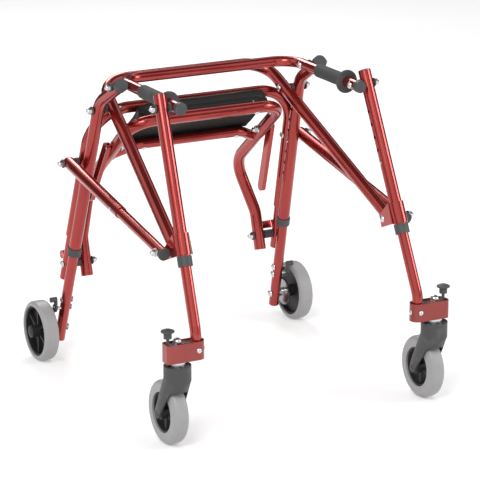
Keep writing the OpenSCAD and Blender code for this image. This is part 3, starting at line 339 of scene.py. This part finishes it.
def moulded_plastic(look, shared, name="charcoal_moulding", shade=1.0):
    """Charcoal moulding: spark-eroded grain, paler where it is rubbed; the shade factor darkens the wheel
    centres as painted shade of the hollow inside the tyres.
    """
    shell = Finish(name, Metallic=0.0, IOR=1.46)
    base = mixed((0.0, 0.0, 0.0), look.plastic, shade)
    grain = shell.place(shared["grain"], Scale=1300.0, Cells=0.6)
    scuff = shell.place(shared["scuff"], Scale=26.0, Amount=0.7)
    rubbed = mixed(base, (0.3, 0.3, 0.3), 0.35 * shade)
    shell.colour(scuff.outputs["Mask"], base, rubbed)
    shell.vary(grain.outputs["Mask"], 0.38, 0.62, "Roughness")
    shell.bump(grain.outputs["Height"], 0.22, 0.0004)
    return shell.material


def grip_rubber(look, shared):
    """Soft foam rubber: open fine cells and a dull, slightly uneven face."""
    grip = Finish("foam_rubber_grip", Metallic=0.0, IOR=1.42)
    grain = grip.place(shared["grain"], Scale=750.0, Cells=0.85)
    scuff = grip.place(shared["scuff"], Scale=34.0, Amount=0.6)
    rubbed = mixed(look.grip, (0.25, 0.24, 0.24), 0.4)
    grip.colour(scuff.outputs["Mask"], look.grip, rubbed)
    grip.vary(grain.outputs["Mask"], 0.62, 0.85, "Roughness")
    grip.bump(grain.outputs["Height"], 0.4, 0.0006)
    return grip.material


def tyre_rubber(look, shared):
    """Non-marking grey tyre: matt, faintly mottled, with darker rolling marks."""
    tyre = Finish("grey_tyre_rubber", Metallic=0.0, IOR=1.48)
    grain = tyre.place(shared["grain"], Scale=620.0, Cells=0.3)
    scuff = tyre.place(shared["scuff"], Scale=42.0, Amount=0.5)
    rolled = mixed(look.tyre, (0.2, 0.2, 0.2), 0.4)
    tyre.colour(scuff.outputs["Mask"], look.tyre, rolled)
    tyre.vary(grain.outputs["Mask"], 0.3, 0.48, "Roughness")
    tyre.bump(grain.outputs["Height"], 0.16, 0.0005)
    return tyre.material


def plated_steel(look, shared, name="zinc_plated_hardware", shade=1.0):
    """Bright zinc plate: fine spangle in roughness and a cloudy tint; the shade factor darkens the ratchet
    teeth as painted shade for their dark reflections.
    """
    plate = Finish(name, Metallic=1.0)
    base = mixed((0.0, 0.0, 0.0), look.steel, shade)
    grain = plate.place(shared["grain"], Scale=1100.0, Cells=0.4)
    flow = plate.place(shared["flow"], Scale=60.0)
    cloudy = mixed(base, (0.45 * shade, 0.46 * shade, 0.48 * shade), 0.55)
    plate.colour(flow.outputs["Mask"], cloudy, base)
    plate.vary(grain.outputs["Mask"], 0.16, 0.34, "Roughness")
    plate.bump(grain.outputs["Height"], 0.12, 0.0002)
    return plate.material


def covered_board(look, shared):
    """Thin black liner stretched under the seat board."""
    board = Finish("black_board_liner", Metallic=0.0, IOR=1.36)
    grain = board.place(shared["grain"], Scale=1600.0, Cells=0.7)
    scuff = board.place(shared["scuff"], Scale=14.0, Amount=0.5)
    rubbed = mixed(look.vinyl, (0.12, 0.12, 0.12), 0.35)
    board.colour(scuff.outputs["Mask"], look.vinyl, rubbed)
    board.vary(grain.outputs["Mask"], 0.5, 0.7, "Roughness")
    board.bump(grain.outputs["Height"], 0.3, 0.0003)
    return board.material


def grained_vinyl(look, shared):
    """Upholstery vinyl: pebbled cells with soft creases and a satin sheen."""
    vinyl = Finish("pebbled_vinyl", Metallic=0.0, IOR=1.37, Sheen_Weight=0.03)
    pebble = vinyl.place(shared["grain"], Scale=430.0, Cells=0.95)
    flow = vinyl.place(shared["flow"], Scale=22.0)
    faded = mixed(look.vinyl, (0.1, 0.1, 0.1), 0.12)
    vinyl.colour(flow.outputs["Mask"], look.vinyl, faded)
    vinyl.vary(pebble.outputs["Mask"], 0.42, 0.6, "Roughness")
    vinyl.bump(pebble.outputs["Height"], 0.45, 0.0009)
    return vinyl.material


MAKERS = {
    "red_paint": red_paint,
    "black_plastic": moulded_plastic,
    "grip_rubber": grip_rubber,
    "grey_tyre": tyre_rubber,
    "steel": plated_steel,
    "seat_board": covered_board,
    "vinyl": grained_vinyl,
}
FINISHES = {}


def finish_of(slot):
    """Material of one of the record's slots."""
    if slot not in FINISHES:
        raise RuntimeError("no finish for slot " + slot)
    return FINISHES[slot]


def grid_faces(rows, cols, wrap_rows=False, wrap_cols=False):
    """Quads between neighbours of a grid of points, row by row; wrapping joins the last to the first."""
    r = np.arange(rows if wrap_rows else rows - 1)
    c = np.arange(cols if wrap_cols else cols - 1)
    r, c = (a.ravel() for a in np.meshgrid(r, c, indexing="ij"))
    r1, c1 = (r + 1) % rows, (c + 1) % cols
    return np.stack([r * cols + c, r * cols + c1, r1 * cols + c1, r1 * cols + c], axis=1)


def new_piece(name, points, faces, material, smooth=True):
    """Mesh object at the origin from arrays of points and faces."""
    mesh = bpy.data.meshes.new(name)
    mesh.from_pydata(np.asarray(points, float).tolist(), [], [[int(i) for i in face] for face in faces])
    mesh.polygons.foreach_set("use_smooth", np.full(len(mesh.polygons), smooth))
    mesh.materials.append(material)
    mesh.update()
    piece = bpy.data.objects.new(name, mesh)
    bpy.context.scene.collection.objects.link(piece)
    return piece


def outward(piece):
    """Turns every face of a closed mesh outwards."""
    shell = bmesh.new()
    shell.from_mesh(piece.data)
    bmesh.ops.remove_doubles(shell, verts=shell.verts, dist=MERGE)
    bmesh.ops.recalc_face_normals(shell, faces=shell.faces)
    shell.to_mesh(piece.data)
    shell.free()


def once_round(count):
    """Angles in equal steps once round a circle, in radians."""
    return np.linspace(0.0, FULL_TURN, count, endpoint=False)


def swept_tube(path, radius, sides, closed):
    """Tube: a circle of the given radius carried along a path, in the plane across each step of the path.

    The first axis across is the up vector made square to the step, the second their cross product."""
    path = np.asarray(path, float)
    ahead = np.roll(path, -1, axis=0) - np.roll(path, 1, axis=0)
    if not closed:
        ahead[0] = path[1] - path[0]
        ahead[-1] = path[-1] - path[-2]
    ahead /= np.linalg.norm(ahead, axis=1, keepdims=True)
    up = np.array([0.31, 0.62, 0.72])
    side = np.cross(ahead, up)
    side /= np.linalg.norm(side, axis=1, keepdims=True)
    top = np.cross(side, ahead)
    angle = once_round(sides)
    radius = np.broadcast_to(np.asarray(radius, float), (len(path),))
    ring = np.cos(angle)[None, :, None] * side[:, None] + np.sin(angle)[None, :, None] * top[:, None]
    points = path[:, None] + radius[:, None, None] * ring
    return points.reshape(-1, 3), grid_faces(len(path), sides, wrap_rows=closed, wrap_cols=True)


def leaning(aside, back):
    """Direction that rises by 1 and leans by the tangents of two angles in degrees, along X and along Y."""
    return np.array([math.tan(math.radians(aside)), math.tan(math.radians(back)), 1.0])


def handed(place, hand):
    """Place on the side of positive X, or its mirror image where hand is -1."""
    return np.array(place) * (hand, 1.0, 1.0)


def evened(path, count):
    """Closed path with its points put at equal steps along its own length."""
    loop = np.vstack([path, path[:1]])
    along = np.concatenate([[0.0], np.cumsum(np.linalg.norm(np.diff(loop, axis=0), axis=1))])
    steps = np.linspace(0.0, along[-1], count, endpoint=False)
    return np.stack([np.interp(steps, along, loop[:, k]) for k in range(3)], axis=1)


def turned(profile, centre, axis, sides):
    """Surface of revolution: each (radius, height) of the profile goes round the axis through the centre."""
    axis = np.asarray(axis, float) / np.linalg.norm(axis)
    first = np.cross(axis, [1.0, 0.0, 0.0])
    first /= np.linalg.norm(first)
    second = np.cross(axis, first)
    turn = once_round(sides)
    radius, height = np.asarray(profile, float).T
    ring = np.cos(turn)[:, None] * first + np.sin(turn)[:, None] * second
    points = np.asarray(centre) + radius[:, None, None] * ring[None] + height[:, None, None] * axis
    return points.reshape(-1, 3), grid_faces(len(radius), sides, wrap_cols=True)


def bead_radius(tube, along, length):
    """Radius of a weld bead: ripples of a tenth, closing to a point at both ends as the root of 1 - u^6."""
    u = 2.0 * along / length - 1.0
    ripples = 1.0 + RIPPLE_DEPTH * np.cos(FULL_TURN * along / tube.ripple)
    return np.maximum(tube.bead * ripples * np.sqrt(np.clip(1.0 - u**6, 0.0, 1.0)), POINT)


def joined(pieces):
    """One list of points and faces from several, each with its own numbering moved on."""
    start = np.cumsum([0] + [len(points) for points, _ in pieces[:-1]])
    points = np.vstack([points for points, _ in pieces])
    faces = np.vstack([np.asarray(faces) + first for (_, faces), first in zip(pieces, start)])
    return points, faces


def on_pad(pad, across, down, up):
    """Point of the pad's own frame in the object's frame: the slope turns down and up about X."""
    c, s = math.cos(pad.slope), math.sin(pad.slope)
    edge = np.array(pad.edge)
    return np.stack(
        [edge[0] + across, edge[1] + c * down + s * up, edge[2] - s * down + c * up], axis=-1
    )


def pad_outline(pad, turn, inset):
    """Outline of the pad: a superellipse of power 7 whose sides draw in by 1 - t squared.

    turn runs once round in radians, inset moves the outline in by that length."""
    power = 2.0 / 7.0
    u = np.sign(np.cos(turn)) * np.abs(np.cos(turn)) ** power
    v = np.sign(np.sin(turn)) * np.abs(np.sin(turn)) ** power
    x = u * (pad.width / 2 - inset - pad.draw_in * (1 - v * v))
    y = pad.depth / 2 + v * (pad.depth / 2 - inset - pad.draw_in * (1 - u * u))
    return x, y


def pad_shell(pad, shrink):
    """Closed crowned pad: rings of the outline from the flat underside, up the side and in over the crown.

    Each ring is the outline shrunk towards the middle. The top's height is side + rise * sqrt(1 - t^3) with
    t from 0 in the middle to 1 at the rim. The two ends close on one point each."""
    turns = once_round(160)
    smallest, largest = 0.05, 0.97
    inner = np.linspace(largest, smallest, num=22)
    part = np.concatenate([np.linspace(smallest, 1.0, num=12), np.full(4, 1.0), inner])
    low = np.zeros(12)
    side = np.linspace(0.2, 1.0, num=4) * (pad.side - shrink)
    top = pad.side - shrink + (pad.crown - pad.side) * np.sqrt(1 - inner**3)
    height = np.concatenate([low, side, top]) + pad.base + shrink / 2
    x, y = pad_outline(pad, turns, shrink)
    mid = pad.depth / 2
    points = on_pad(pad, part[:, None] * x, mid + part[:, None] * (y - mid), height[:, None] + 0 * x)
    rings, count = part.size, turns.size
    flat = points.reshape(-1, 3)
    ends = on_pad(pad, np.zeros(2), np.full(2, mid), np.array([height[0], height[-1]]))
    faces = grid_faces(rings, count, wrap_cols=True).tolist()
    step = np.arange(count)
    nxt = (step + 1) % count
    faces += np.stack([np.full(count, flat.shape[0]), nxt, step], axis=1).tolist()
    last = (rings - 1) * count
    faces += np.stack([np.full(count, flat.shape[0] + 1), last + step, last + nxt], axis=1).tolist()
    return np.vstack([flat, ends]), faces


def coordinates(mesh):
    """Vertex places of a mesh as an array."""
    flat = np.empty(len(mesh.vertices) * 3)
    mesh.vertices.foreach_get("co", flat)
    return flat.reshape(-1, 3)


def put_coordinates(mesh, places):
    """Writes an array of vertex places into a mesh."""
    mesh.vertices.foreach_set("co", np.asarray(places, float).ravel())
    mesh.update()


def apply_modifiers(piece):
    """Replaces a piece's mesh by what its modifiers give at this frame."""
    depsgraph = bpy.context.evaluated_depsgraph_get()
    baked = bpy.data.meshes.new_from_object(piece.evaluated_get(depsgraph))
    piece.modifiers.clear()
    piece.data = baked


def inflate(piece, pad):
    """Inflates a pad with Cloth pressure, keeps its underside flat and caps each point's move."""
    remesh = piece.modifiers.new("even", "REMESH")
    remesh.mode = "VOXEL"
    remesh.voxel_size = pad.voxel
    apply_modifiers(piece)
    rest = coordinates(piece.data)
    cloth = piece.modifiers.new("puff", "CLOTH")
    cloth.settings.quality = 5
    cloth.settings.use_pressure = True
    cloth.settings.uniform_pressure_force = 4.0
    cloth.settings.effector_weights.gravity = 0.0
    cloth.settings.tension_stiffness = 25.0
    cloth.settings.bending_stiffness = 1.0
    cloth.point_cache.frame_start = 1
    cloth.point_cache.frame_end = pad.frames
    scene = bpy.context.scene
    for step in range(1, pad.frames + 1):
        scene.frame_set(step)
    apply_modifiers(piece)
    scene.frame_set(1)
    moved = coordinates(piece.data)
    shift = moved - rest
    far = np.linalg.norm(shift, axis=1, keepdims=True)
    shift *= np.minimum(1.0, pad.swell / np.maximum(far, 1e-9))
    up = np.array([0.0, math.sin(pad.slope), math.cos(pad.slope)])
    floor = float(np.dot(np.array(pad.edge), up)) + pad.base
    places = rest + shift
    depth = np.maximum(floor - places @ up, 0.0)
    put_coordinates(piece.data, places + depth[:, None] * up)


def seen_directly(tree):
    """Output that is 1 for rays from the camera, a mirror or through glass, and 0 for scattered light."""
    path = add(tree, "LightPath")
    seen = add(tree, "Math", operation="MAXIMUM")
    both = add(tree, "Math", operation="MAXIMUM")
    tree.links.new(path.outputs["Is Camera Ray"], seen.inputs[0])
    tree.links.new(path.outputs["Is Glossy Ray"], seen.inputs[1])
    tree.links.new(seen.outputs[0], both.inputs[0])
    tree.links.new(path.outputs["Is Transmission Ray"], both.inputs[1])
    return both.outputs[0]


class WALKER_OT_finish(bpy.types.Operator):
    """Gives every carried-over CAD node the finish of its slot."""

    bl_idname = "walker.finish"
    bl_label = "Finish tube, plastic, tyres and hardware"

    def execute(self, context):
        look = context.scene.walker_finish
        shared = {"grain": grain_group(), "scuff": scuff_group(), "flow": flow_group()}
        for slot, maker in MAKERS.items():
            FINISHES[slot] = maker(look, shared)
        own = {
            "caster_strap": red_paint(look, shared, "satin_red_strap", grey=0.3, rough=0.14),
            # Caster rims and rear hubs: the same charcoal plastic, darkened as painted shade of the hollow
            # inside the tyres
            "caster_rim": moulded_plastic(look, shared, "black_wheel_moulding", shade=0.25),
            # Ratchet ring: plated steel darkened as painted shade for the dark reflections in its teeth
            "ratchet_ring": plated_steel(look, shared, "worn_ratchet_steel", shade=0.55),
        }
        own["rear_hub"] = own["caster_rim"]
        slots = {part["node"]: part["material_slot"] for part in frame["record"]["subparts"]}
        for node, obj in frame["nodes"].items():
            material = own.get(node.rsplit("_", 1)[0], finish_of(slots[node]))
            obj.data.materials.clear()
            obj.data.materials.append(material)
        return {"FINISHED"}


class WALKER_OT_cushion(bpy.types.Operator):
    """Makes the inflated vinyl pad that stands for the seat's soft solid."""

    bl_idname = "walker.cushion"
    bl_label = "Seat cushion"

    def execute(self, context):
        pad = context.scene.walker_pad
        points, faces = pad_shell(pad, pad.shrink)
        cushion = new_piece("seat_pad", points, faces, finish_of("vinyl"))
        outward(cushion)
        inflate(cushion, pad)
        cushion.data.materials.clear()
        cushion.data.materials.append(finish_of("vinyl"))
        cushion.data.polygons.foreach_set("use_smooth", np.full(len(cushion.data.polygons), True))
        fine = cushion.modifiers.new("fine", "SUBSURF")
        fine.levels = 1
        fine.render_levels = 1
        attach(cushion, "seat")
        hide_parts("seat_cushion")
        return {"FINISHED"}


class WALKER_OT_welts(bpy.types.Operator):
    """Wraps the cover round the board's edge and sews a welt round the pad's upper edge."""

    bl_idname = "walker.welts"
    bl_label = "Pad cover edge and welt"

    def execute(self, context):
        pad = context.scene.walker_pad
        cushion = bpy.data.objects["seat_pad"]
        for name, (points, faces) in (("pad_wrap", self.wrap(pad)), ("pad_welt", self.welt(pad, cushion))):
            piece = new_piece(name, points, faces, finish_of("vinyl"))
            outward(piece)
            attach(piece, "seat")
        return {"FINISHED"}

    def welt(self, pad, cushion):
        """Round cord on the pad's upper edge: a wider outline, each point moved to the pad's nearest."""
        count, outside, above = 260, 0.006, 0.007
        turns = once_round(OUTLINE_POINTS)
        x, y = pad_outline(pad, turns, -outside)
        around = evened(on_pad(pad, x, y, np.full(turns.size, pad.base + pad.side + above)), count)
        bpy.context.view_layer.update()
        path = np.array([cushion.closest_point_on_mesh(Vector(place))[1] for place in around])
        for _ in range(3):
            path = evened((np.roll(path, 1, axis=0) + 2.0 * path + np.roll(path, -1, axis=0)) / 4.0, count)
        return swept_tube(path, pad.welt, CORD_SIDES, closed=True)

    def wrap(self, pad):
        """Closed band round the board: a profile of inset and height, with a rolled edge, on the outline."""
        inner, bend, outer = 0.0056, 0.0052, 0.0018
        low, roll_r, lap = 0.0006, 0.0026, 0.004
        top = pad.base + lap
        turns = once_round(OUTLINE_POINTS)
        roll = np.linspace(0.0, 0.5 * np.pi, num=6)
        inset = np.concatenate([[inner], bend - roll_r * np.sin(roll), [outer, inner]])
        height = np.concatenate([[low], low + roll_r - roll_r * np.cos(roll), [top, top]])
        rows = [
            on_pad(pad, *pad_outline(pad, turns, i), np.full(turns.size, h)) for i, h in zip(inset, height)
        ]
        points = np.array(rows).reshape(-1, 3)
        return points, grid_faces(len(rows), turns.size, wrap_rows=True, wrap_cols=True)


class WALKER_OT_welds(bpy.types.Operator):
    """Lays the weld beads between rear legs and back hoop, and round the ends of the seat's lower rail."""

    bl_idname = "walker.welds"
    bl_label = "Weld beads"

    def execute(self, context):
        tube = context.scene.walker_tube
        for name, body, beads in (
            ("hoop_welds", "rear_frame", self.hoop_beads(tube)),
            ("rail_welds", "seat", self.rail_beads(tube, context.scene.walker_pad)),
        ):
            points, faces = joined(beads)
            piece = new_piece(name, points, faces, finish_of("red_paint"))
            outward(piece)
            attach(piece, body)
        return {"FINISHED"}

    def hoop_beads(self, tube):
        """Straight beads in both grooves beside the line where hoop and leg touch, at three heights.

        The leg's axis is a point plus its direction; the touching line lies one leg radius behind it."""
        beads = []
        along = np.linspace(0.0, tube.weld, num=61)
        for hand in HANDS:
            up = leaning(-hand * REAR_SPLAY, -REAR_LEAN)
            axis = up / np.linalg.norm(up)
            back = np.array([0.0, 1.0, 0.0]) - axis[1] * axis
            back /= np.linalg.norm(back)
            side = np.cross(axis, back)
            for rise in WELD_RISES:
                foot = handed(REAR_FOOT, hand) + up * rise
                for flank in HANDS:
                    start = foot + back * tube.tube_r + side * flank * WELD_ASIDE
                    path = start + (along - tube.weld / 2)[:, None] * axis
                    radius = bead_radius(tube, along, tube.weld)
                    beads.append(swept_tube(path, radius, CORD_SIDES, closed=False))
        return beads

    def rail_beads(self, tube, pad):
        """Bead on the saddle curve where the rail's round end meets the seat frame's side tube.

        For each angle round the rail, the point slides back along it until it is on the side tube's skin."""
        turn = once_round(96)
        run = np.array(RAIL_RUN) / math.hypot(*RAIL_RUN)
        lift = tube.tube_r - tube.rail_r - RAIL_SLACK
        out = -run[1] * tube.rail_r * np.cos(turn)
        down = run[0] * tube.rail_r * np.cos(turn)
        up = lift + tube.rail_r * np.sin(turn)
        skin = SEAT_ARM_X - np.sqrt(np.maximum(tube.tube_r**2 - up**2, 0.0))
        slide = (RAIL_END_X + out - skin) / run[0]
        beads = []
        for hand in HANDS:
            path = on_pad(
                pad,
                hand * (RAIL_END_X + out - run[0] * slide),
                RAIL_END_DOWN + PAD_OVERHANG + down - run[1] * slide,
                up - tube.tube_r - SEAT_GAP,
            )
            step = np.linalg.norm(np.roll(path, -1, axis=0) - path, axis=1)
            along = np.cumsum(step) - step
            laps = round(step.sum() / tube.ripple)
            ripples = 1.0 + RIPPLE_DEPTH * np.cos(FULL_TURN * laps * along / step.sum())
            radius = tube.bead * RAIL_BEAD * ripples
            beads.append(swept_tube(path, radius, CORD_SIDES, closed=True))
        return beads


class WALKER_OT_plugs(bpy.types.Operator):
    """Sets a domed black plug in the open top of each front leg."""

    bl_idname = "walker.plugs"
    bl_label = "Front leg plugs"

    def execute(self, context):
        profile = self.profile(context.scene.walker_tube)
        plugs = [
            turned(profile, handed(FRONT_TOP, hand), leaning(-hand * FRONT_SPLAY, FRONT_LEAN), sides=48)
            for hand in HANDS
        ]
        points, faces = joined(plugs)
        piece = new_piece("front_leg_plugs", points, faces, finish_of("black_plastic"))
        outward(piece)
        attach(piece, "front_legs")
        return {"FINISHED"}

    def profile(self, tube):
        """Half section from the dome's middle over the lip, down the shank and in to the axis."""
        dome = np.array([(0.3, 0.97), (0.6, 0.84), (0.82, 0.62), (0.94, 0.38), (0.985, 0.14)])
        lip, shank = 0.985 * tube.tube_r, 0.885 * tube.tube_r
        under, deep = 0.00005, -0.008
        rim = [(lip, under), (shank, under), (shank, deep), (POINT, deep)]
        return np.vstack([[(POINT, tube.plug)], dome * (tube.tube_r, tube.plug), rim])


class WALKER_OT_stage(bpy.types.Operator):
    """Lays the floor, hangs the lights and sets the camera at the photograph's angle."""

    bl_idname = "walker.stage"
    bl_label = "Studio"

    def execute(self, context):
        studio = context.scene.walker_studio
        self.floor(studio)
        self.cards(studio)
        self.lights(studio)
        self.world(studio)
        self.camera(studio)
        context.scene.view_settings.view_transform = "Standard"
        return {"FINISHED"}

    def floor(self, studio):
        """Wide plane just under the wheels."""
        corners = np.column_stack([FLOOR_HALF * SQUARE, np.full(4, -FLOOR_DROP)])
        floor = Finish("studio_floor", Roughness=0.9)
        grain = floor.place(bpy.data.node_groups["fine_grain"], Scale=40.0, Cells=0.1)
        low = mixed(studio.floor, (0.0, 0.0, 0.0), 0.02)
        floor.colour(grain.outputs["Mask"], low, tuple(studio.floor))
        white = add(floor.tree, "Mix", data_type="RGBA")
        white.inputs[6].default_value = (0.0, 0.0, 0.0, 1.0)
        white.inputs[7].default_value = (1.0, 1.0, 1.0, 1.0)
        floor.tree.links.new(seen_directly(floor.tree), white.inputs[0])
        floor.tree.links.new(white.outputs[2], floor.shader.inputs["Emission Color"])
        floor.shader.inputs["Emission Strength"].default_value = studio.glow
        plane = new_piece("studio_floor", corners, [range(4)], floor.material, smooth=False)

    def cards(self, studio):
        """Dark cards round and over the object, which only mirrors see: they draw lines along the tubes."""
        dark = Finish("studio_card", Roughness=0.8)
        grain = dark.place(bpy.data.node_groups["fine_grain"], Scale=12.0, Cells=0.1)
        dark.colour(grain.outputs["Mask"], tuple(studio.card), mixed(studio.card, (1.0, 1.0, 1.0), 0.02))
        half = studio.card_height / 2
        for name, bearing, tilt, wide in CARDS:
            angle, lift = math.radians(bearing), math.radians(tilt)
            level = np.array([math.cos(angle), math.sin(angle), 0.0])
            away = level * math.cos(lift) + np.array([0.0, 0.0, math.sin(lift)])
            across = np.array([-math.sin(angle), math.cos(angle), 0.0])
            edges = half * np.stack([across * wide, np.cross(away, across)])
            corners = studio.card_away * away + SQUARE @ edges
            corners[:, 2] = np.maximum(corners[:, 2] + half * math.cos(lift), CARD_LOW)
            card = new_piece(name, corners, [range(4)], dark.material, smooth=False)
            for ray in ("camera", "diffuse", "transmission", "volume_scatter", "shadow"):
                setattr(card, "visible_" + ray, False)

    def lights(self, studio):
        """Large key from the upper left, fill from the right, a strip from behind."""
        for name, place, side, power in LAMPS:
            lamp = bpy.data.lights.new(name, "AREA")
            lamp.shape = "SQUARE"
            lamp.size = side
            lamp.energy = getattr(studio, power)
            holder = bpy.data.objects.new(name, lamp)
            holder.location = place
            aim = Vector(LAMP_AIM) - Vector(place)
            holder.rotation_euler = aim.to_track_quat("-Z", "Y").to_euler()
            bpy.context.scene.collection.objects.link(holder)

    def world(self, studio):
        """Soft grey light for diffuse rays, plain white where the camera, mirrors and glass look."""
        world = bpy.data.worlds.new("studio_world")
        world.use_nodes = True
        tree = world.node_tree
        back = tree.nodes["Background"]
        level = add(tree, "MapRange")
        level.inputs["To Min"].default_value = studio.world
        level.inputs["To Max"].default_value = 1.0
        link = tree.links.new
        link(seen_directly(tree), level.inputs["Value"])
        link(level.outputs["Result"], back.inputs["Strength"])
        back.inputs["Color"].default_value = (1.0, 1.0, 1.0, 1.0)
        bpy.context.scene.world = world

    def camera(self, studio):
        """Long lens aimed at the middle of the frame, shifted as the photograph is cropped."""
        lens = bpy.data.cameras.new("photo_camera")
        lens.lens = studio.lens
        lens.sensor_width = 36.0
        lens.shift_x, lens.shift_y = studio.shift
        lens.clip_end = 100.0
        eye = bpy.data.objects.new("photo_camera", lens)
        eye.location = studio.eye
        aim = Vector(studio.aim) - Vector(studio.eye)
        eye.rotation_euler = aim.to_track_quat("-Z", "Y").to_euler()
        bpy.context.scene.collection.objects.link(eye)
        bpy.context.scene.camera = eye


OPERATORS = (
    WALKER_OT_finish,
    WALKER_OT_cushion,
    WALKER_OT_welts,
    WALKER_OT_welds,
    WALKER_OT_plugs,
    WALKER_OT_stage,
)


class WALKER_PT_panel(bpy.types.Panel):
    """Sidebar list of the walker's steps and sizes."""

    bl_idname = "WALKER_PT_panel"
    bl_label = "Walker"
    bl_space_type = "VIEW_3D"
    bl_region_type = "UI"
    bl_category = "Walker"

    def draw(self, context):
        column = self.layout.column()
        for operator in OPERATORS:
            column.operator(operator.bl_idname)
        scene = context.scene
        for owner in (scene.walker_finish, scene.walker_pad, scene.walker_tube, scene.walker_studio):
            box = column.box()
            for key in owner.__annotations__:
                box.prop(owner, key)


CLASSES = (WalkerFinish, WalkerPad, WalkerTube, WalkerStudio, *OPERATORS, WALKER_PT_panel)


def register():
    """Registers the classes and hangs the settings on the scene."""
    for cls in CLASSES:
        bpy.utils.register_class(cls)
    bpy.types.Scene.walker_finish = PointerProperty(type=WalkerFinish)
    bpy.types.Scene.walker_pad = PointerProperty(type=WalkerPad)
    bpy.types.Scene.walker_tube = PointerProperty(type=WalkerTube)
    bpy.types.Scene.walker_studio = PointerProperty(type=WalkerStudio)


def unregister():
    """Takes the settings and classes away again."""
    for owner in ("finish", "pad", "tube", "studio"):
        delattr(bpy.types.Scene, "walker_" + owner)
    for cls in reversed(CLASSES):
        bpy.utils.unregister_class(cls)


def main():
    """Runs the steps in order."""
    register()
    bpy.ops.walker.finish()
    bpy.ops.walker.cushion()
    bpy.ops.walker.welts()
    bpy.ops.walker.welds()
    bpy.ops.walker.plugs()
    bpy.ops.walker.stage()


if __name__ == "__main__":
    main()
